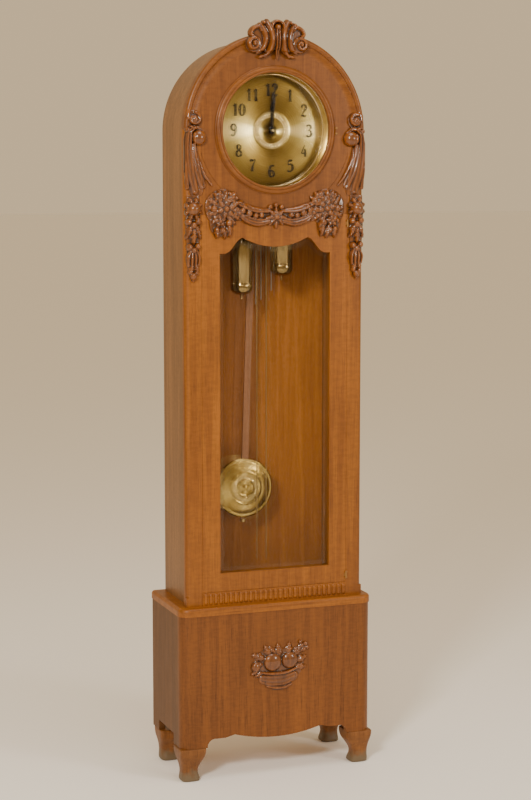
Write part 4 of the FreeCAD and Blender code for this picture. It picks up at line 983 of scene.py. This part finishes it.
# Brass brushed round its centre, with a painted bow-tie shine in its colour. The stops run from straight up
# or down, at 0, to straight sideways, at 1.
def radialBrass(name, centre, stops, roughness):
    material, tree, shader = newMaterial(name)
    place = tree.nodes.new("ShaderNodeTexCoord")
    shift = tree.nodes.new("ShaderNodeMapping")
    shift.inputs["Location"].default_value = (-centre.x, 0, -centre.z)
    shift.inputs["Scale"].default_value = (1, 0, 1)
    tree.links.new(place.outputs["Object"], shift.inputs["Vector"])
    unit = tree.nodes.new("ShaderNodeVectorMath")
    unit.operation = "NORMALIZE"
    tree.links.new(shift.outputs["Vector"], unit.inputs[0])
    apart = tree.nodes.new("ShaderNodeSeparateXYZ")
    tree.links.new(unit.outputs["Vector"], apart.inputs["Vector"])
    sideways = tree.nodes.new("ShaderNodeMath")
    sideways.operation = "ABSOLUTE"
    tree.links.new(apart.outputs["X"], sideways.inputs[0])
    away = tree.nodes.new("ShaderNodeVectorMath")
    away.operation = "LENGTH"
    tree.links.new(shift.outputs["Vector"], away.inputs[0])
    brush = addNode(tree, "ShaderNodeTexNoise", Scale=1400.0, Detail=2.0)
    brush.noise_dimensions = "1D"
    tree.links.new(away.outputs["Value"], brush.inputs["W"])
    # Painted highlight: colour set by direction from the centre, bright or dark whatever the lamps do.
    colour = ramp(tree, sideways.outputs["Value"], stops)
    streaks = ramp(tree, brush.outputs["Fac"], [(0.3, (0.78, 0.78, 0.76)), (0.7, (1.16, 1.16, 1.16))])
    colour = mixColours(tree, 0.7, colour, streaks, "MULTIPLY")
    tree.links.new(colour, shader.inputs["Base Color"])
    gloss = tree.nodes.new("ShaderNodeMapRange")
    gloss.inputs["To Min"].default_value = roughness - 0.08
    gloss.inputs["To Max"].default_value = roughness + 0.08
    tree.links.new(brush.outputs["Fac"], gloss.inputs["Value"])
    tree.links.new(gloss.outputs["Result"], shader.inputs["Roughness"])
    shader.inputs["Metallic"].default_value = 1
    return material


# Painted highlight on the dial: dark at top and bottom, bright at the sides.
dialBrassPaintedShine = radialBrass("brushed brass with painted shine", dialCentre, [
    (0.0, (0.13, 0.08, 0.018)), (0.5, (0.2, 0.13, 0.03)), (0.84, (0.31, 0.22, 0.06)),
    (0.965, (0.48, 0.37, 0.12)), (1.0, (0.86, 0.72, 0.34))], 0.3)
brightBrass = metalMaterial("bright brass", (0.8, 0.66, 0.4), 0.12, scale=30.0, variation=0.03)
makeReeds()
makeNumerals()
makeDial()
print("stage: reeds and dial made")


weightWork = {"hookTall": 18, "lowSeams": (46, 49), "highSeams": (26, 23), "seamDeep": 0.8, "hookBend": 3.4,
              "wire": 1.1}


# Brass shells with turned caps, seam lines and a finial; each hangs on its own chain.
def makeWeights():
    s = weightWork
    for side in ("left", "right"):
        node = "weight_" + side
        lowest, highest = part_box(node)
        x, y = (lowest.x + highest.x) / 2, (lowest.y + highest.y) / 2
        radius = (highest.x - lowest.x) / 2 / mm
        base = lowest.z / mm
        top = highest.z / mm - s["hookTall"]
        finial = [(0, 0), (2.2, 0.6), (3.2, 2.6), (2.6, 4.6), (1.7, 6), (3.8, 8), (4.4, 9.4), (3.6, 11),
                  (9, 12.5), (18, 15.2), (radius - 7, 19), (radius - 2.6, 24), (radius - 0.6, 29),
                  (radius, 33)]
        profile = [(reach, base + rise) for reach, rise in finial]
        for seam in [base + v for v in s["lowSeams"]] + [top - v for v in s["highSeams"]]:
            profile += [(radius, seam - 0.9), (radius - s["seamDeep"], seam), (radius, seam + 0.9)]
        cap = [(radius, -4), (radius - 1, -1.2), (radius - 3.5, 0), (14, 1.5), (6, 3), (4.5, 5), (4.2, 8),
               (2.2, 9), (0, 9)]
        profile += [(reach, top + rise) for reach, rise in cap]
        bm = bmesh.new()
        addLathe(bm, profile, (x, y, 0), "z", 72)
        hookTop = highest.z / mm
        bend = s["hookBend"]
        arc = [(0, top + 8)] + [(bend * math.sin(a), hookTop - 4.6 - bend * math.cos(a))
                                for a in [math.radians(v) for v in range(0, 300, 30)]]
        tube = smoothPath([(x + a * mm, b * mm) for a, b in arc], 26)
        rows = []
        for index, place in enumerate(tube):
            direction = (tube[min(index + 1, 26)] - tube[max(index - 1, 0)]).normalized()
            normal = Vector((-direction.y, 0, direction.x))
            row = []
            for k in range(8):
                outward = normal * math.cos(k * math.pi / 4) + Vector((0, 1, 0)) * math.sin(k * math.pi / 4)
                row.append(bm.verts.new(Vector((place.x, y, place.y)) + outward * s["wire"] * mm))
            rows.append(row)
        for one, two in zip(rows, rows[1:]):
            for k in range(8):
                bm.faces.new((one[k], one[(k + 1) % 8], two[(k + 1) % 8], two[k]))
        bm.faces.new(rows[0])
        bm.faces.new(list(reversed(rows[-1])))
        finishPiece("brass_weight_" + side, bm, polishedBrass, side + "_weight", [node])


bobWork = {"rays": 48, "rayRadius": 32, "rayHalf": 7.5, "rayDeep": 1.2, "rayInset": 0.5}


# A domed brass disc with a ring of raised rays, a turned rim and a shallow domed back.
def makeBob():
    s = bobWork
    lowest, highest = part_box("pendulum_bob")
    x, z = (lowest.x + highest.x) / 2, (lowest.z + highest.z) / 2
    radius = (highest.z - lowest.z) / 2 / mm
    front = lowest.y
    thick = (highest.y - front) / mm
    profile = [(0, 0.2), (5, 0.3), (6, 0.9), (20, 1.0), (21, 0.3), (22.2, 0.3), (23, 1.2), (41, 1.9),
               (42, 1.2), (43.4, 1.2)]
    ringEdge, ringDeep = 44.4, 2.2
    for step in range(7):
        share = step / 6
        profile.append((ringEdge + (radius - 7 - ringEdge) * share,
                        ringDeep + (thick / 2 - 6.5) * share ** 1.7))
    profile += [(radius - 6, thick / 2 - 4.6), (radius - 4.5, thick / 2 - 5), (radius - 1.5, thick / 2 - 3.4),
                (radius, thick / 2 - 1), (radius, thick / 2 + 1), (radius - 3, thick / 2 + 4.5)]
    profile += [(radius * 0.7, thick - 3), (radius * 0.4, thick - 0.8), (0, thick)]
    bm = bmesh.new()
    addLathe(bm, profile, (x, front, z), "y", 128)
    finishPiece("brass_bob", bm, bobBrassPaintedShine, "pendulum", ["pendulum_bob"])
    petal = bmesh.new()
    half = s["rayHalf"] * mm
    addStroke(petal, [(0, -half), (0, 0), (0, half)], [0.8 * mm, 2.6 * mm, 0.9 * mm], 0, s["rayDeep"] * mm, 6)
    places, turns = aroundCircle(Vector((x, front + s["rayInset"] * mm, z)), s["rayRadius"], s["rays"])
    repeatedPiece("bob_rays", petal, places, turns, castBrass, "pendulum", ())


bobLow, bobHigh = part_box("pendulum_bob")
# Painted highlight on the bob: bright straight above and below the centre, darkest just short of the sides.
bobBrassPaintedShine = radialBrass("bob brass with painted shine", (bobLow + bobHigh) / 2, [
    (0.0, (0.62, 0.47, 0.17)), (0.35, (0.4, 0.28, 0.08)), (0.75, (0.26, 0.17, 0.04)),
    (1.0, (0.5, 0.37, 0.12))], 0.24)
makeWeights()
makeBob()
print("stage: weights and pendulum made")


chainWork = {"pitch": 7.6, "wire": 0.85, "linkWide": 2.7, "slack": 0.05}


# One oval link of round wire, standing upright.
def linkSample():
    s = chainWork
    bm = bmesh.new()
    half = s["pitch"] / 2 + s["wire"] * 0.7
    rows = []
    for step in range(12):
        angle = step / 12 * 2 * math.pi
        across, up = s["linkWide"] / 2 * math.cos(angle), math.sin(angle)
        lifted = math.copysign(abs(up) ** 0.6, up) * half * 0.86
        outward = Vector((math.cos(angle), 0, math.sin(angle)))
        row = []
        for k in range(5):
            turn = k / 5 * 2 * math.pi
            row.append(bm.verts.new((Vector((across, 0, lifted)) + outward * s["wire"] * math.cos(turn)
                                     + Vector((0, 1, 0)) * s["wire"] * math.sin(turn)) * mm))
        rows.append(row)
    for index in range(12):
        one, two = rows[index], rows[(index + 1) % 12]
        for k in range(5):
            bm.faces.new((one[k], two[k], two[(k + 1) % 5], one[(k + 1) % 5]))
    return bm


# Every other link is turned a quarter round.
def crossed(index):
    return math.pi / 2 * (index % 2) + math.pi / 4


# Each chain in three pieces: the run to its weight, the bend over its sprocket, and the loose run.
def makeChains():
    s = chainWork
    for side in ("left", "right"):
        runLow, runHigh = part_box("chain_" + side)
        looseLow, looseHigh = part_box("loose_chain_" + side)
        runX, looseX = (runLow.x + runHigh.x) / 2, (looseLow.x + looseHigh.x) / 2
        y = (looseLow.y + looseHigh.y) / 2
        top, joint = runHigh.z, side + "_weight_drop"
        count = int((top - looseLow.z) / (s["pitch"] * mm))
        places = [(looseX, y, top - (k + 0.5) * s["pitch"] * mm) for k in range(count)]
        turns = [(0, 0, crossed(k)) for k in range(count)]
        loose = repeatedPiece("chain_loose_" + side, linkSample(), places, turns, chainBrass, "case",
                              ["loose_chain_" + side])
        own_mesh(loose)
        middle = (runX + looseX) / 2
        radius = abs(runX - looseX) / 2
        bends = int(math.pi * radius / (s["pitch"] * mm))
        places, turns = [], []
        for k in range(bends):
            angle = math.pi * (k + 0.5) / bends
            places.append((middle + radius * math.cos(angle), y, top + radius * math.sin(angle)))
            facing = Matrix.Rotation(-angle, 3, "Y") @ Matrix.Rotation(crossed(k), 3, "Z")
            turns.append(tuple(facing.to_euler()))
        repeatedPiece("chain_bend_" + side, linkSample(), places, turns, chainBrass, "case", ())
        drop = next(item["range_m"][1] for item in frame["joints"] if item["name"] == joint)
        rest = top - runLow.z
        count = int((rest + drop) / (s["pitch"] * mm))
        places = [(runX, y, -(k + 0.5) * s["pitch"] * mm) for k in range(count)]
        turns = [(0, 0, crossed(k)) for k in range(count)]
        run = repeatedPiece("chain_run_" + side, linkSample(), places, turns, chainBrass, None, ride=False)
        for vert in run.data.vertices:
            vert.co.z = top - rest * shareAt(-vert.co.z, rest, drop)
        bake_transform(run)
        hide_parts("chain_" + side)


# How far along the short run a point sits, so that it is this far down once the run is drawn out.
def shareAt(reach, rest, drop):
    low, high = 0.0, 1.0
    for _ in range(30):
        share = (low + high) / 2
        if rest * share + drop * share * share * (3 - 2 * share) < reach:
            low = share
        else:
            high = share
    return (low + high) / 2


makeChains()
print("stage: chains made")


paneWork = {
    "bevel": 14, "thin": 1.7, "margin": 4, "inset": 7.2,
    "shoulder": [(0, 41), (17, 37), (42, 17), (64, 0)],        # in from the edge, down from the peak
    "dip": [(64, 0), (95, 17)], "dipDeep": 24,
}


# A closed outline moved sideways: outwards when the distance is positive.
def offsetOutline(points, distance):
    moved = []
    for index, place in enumerate(points):
        before = (place - points[index - 1]).normalized()
        after = (points[(index + 1) % len(points)] - place).normalized()
        middle = (Vector((before.y, -before.x)) + Vector((after.y, -after.x)))
        middle.normalize()
        slant = max(middle.dot(Vector((after.y, -after.x))), 0.45)
        moved.append(place + middle * distance / slant)
    return moved


# The door's glass: a flat pane with a wide bevel that follows the opening.
def makePane():
    s = paneWork
    lowest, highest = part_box("door_glass")
    front, back = lowest.y, highest.y
    half = (highest.x - s["inset"] * mm) / mm
    foot, peak = lowest.z / mm + s["inset"], highest.z / mm - s["inset"]
    right = smoothPath([(half - x, peak - z) for x, z in s["shoulder"]], 8)
    dip = smoothPath([(half - x, peak - z) for x, z in s["dip"]] + [(0, peak - s["dipDeep"])], 8)
    top = right + dip[1:]
    outline = [Vector((-half, foot)), Vector((half, foot))] + top
    outline += [Vector((-p.x, p.y)) for p in reversed(top[:-1])]
    outer = offsetOutline(outline, s["margin"])
    inner = offsetOutline(outline, -s["bevel"])
    slope = front + s["thin"] * mm
    solids = {"pane": [(inner, back), (inner, front)],
              "pane_bevel": [(outer, back), (outer, slope), (inner, front), (inner, back)]}
    for name, loops in solids.items():
        bm = bmesh.new()
        rings = [[bm.verts.new((p.x * mm, y, p.y * mm)) for p in points] for points, y in loops]
        if name == "pane":
            bm.faces.new(rings[0])
            bm.faces.new(rings[-1])
        else:
            rings.append(rings[0])
        for one, two in zip(rings, rings[1:]):
            for k in range(len(one)):
                bm.faces.new((one[k], one[(k + 1) % len(one)], two[(k + 1) % len(one)], two[k]))
        finishPiece("glass_" + name, bm, clearGlass if name == "pane" else bevelGlass, "door",
                    ["door_glass"] if name == "pane" else [], smooth=False)


bevelGlass = glassMaterial("bevelled glass", 0.34)
makePane()
print("stage: glass made")


footWork = {
    "middle": 36.8, "frontSetback": 37.2, "sides": 40,                    # mm, and corners round each foot
    "levels": [90, 89.4, 80, 72, 64, 56, 46, 36, 26, 16, 8, 2, 0],         # heights, mm
    "halves": [36, 36, 36.4, 36.6, 35, 31, 26.5, 23.5, 22.5, 24.5, 26.5, 26, 25],
    "lean": [0, 0, 0, 0, 0.5, 2, 4, 5.5, 6, 5, 3.5, 3, 3],                # towards the outer corner
    "round": [12, 12, 9, 6, 4.5, 4, 3.6, 3.3, 3, 3, 3.2, 3.4, 3.4],
}


# Four cabriole feet: a swelling knee, a narrow ankle and a rounded toe.
def makeFeet():
    s = footWork
    sides = s["sides"]
    for node, front in (("front_feet", True), ("rear_feet", False)):
        lowest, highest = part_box(node)
        bm = bmesh.new()
        for sign in (-1, 1):
            x = sign * (highest.x / mm - s["middle"])
            y = lowest.y / mm + s["frontSetback"] if front else highest.y / mm - s["middle"]
            outward = -1 if front else 1
            shallow = min(1, (highest.y - lowest.y) / mm / 2 / s["middle"])
            rows = []
            for level, half, lean, power in zip(s["levels"], s["halves"], s["lean"], s["round"]):
                row = []
                for k in range(sides):
                    angle = k / sides * 2 * math.pi
                    c, d = math.cos(angle), math.sin(angle)
                    px = math.copysign(abs(c) ** (2 / power), c) * half
                    py = math.copysign(abs(d) ** (2 / power), d) * half * shallow
                    row.append(bm.verts.new(((x + sign * lean + px) * mm, (y + outward * lean + py) * mm,
                                             level * mm)))
                rows.append(row)
            for one, two in zip(rows, rows[1:]):
                for k in range(sides):
                    bm.faces.new((one[k], one[(k + 1) % sides], two[(k + 1) % sides], two[k]))
            bm.faces.new(rows[0])
            bm.faces.new(rows[-1])
        piece = finishPiece("carved_" + node, bm, wornOak, None, [node])
        smoother = piece.modifiers.new("round", "SUBSURF")
        smoother.levels = smoother.render_levels = 1
        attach(piece, "case")


makeFeet()
print("stage: feet made")
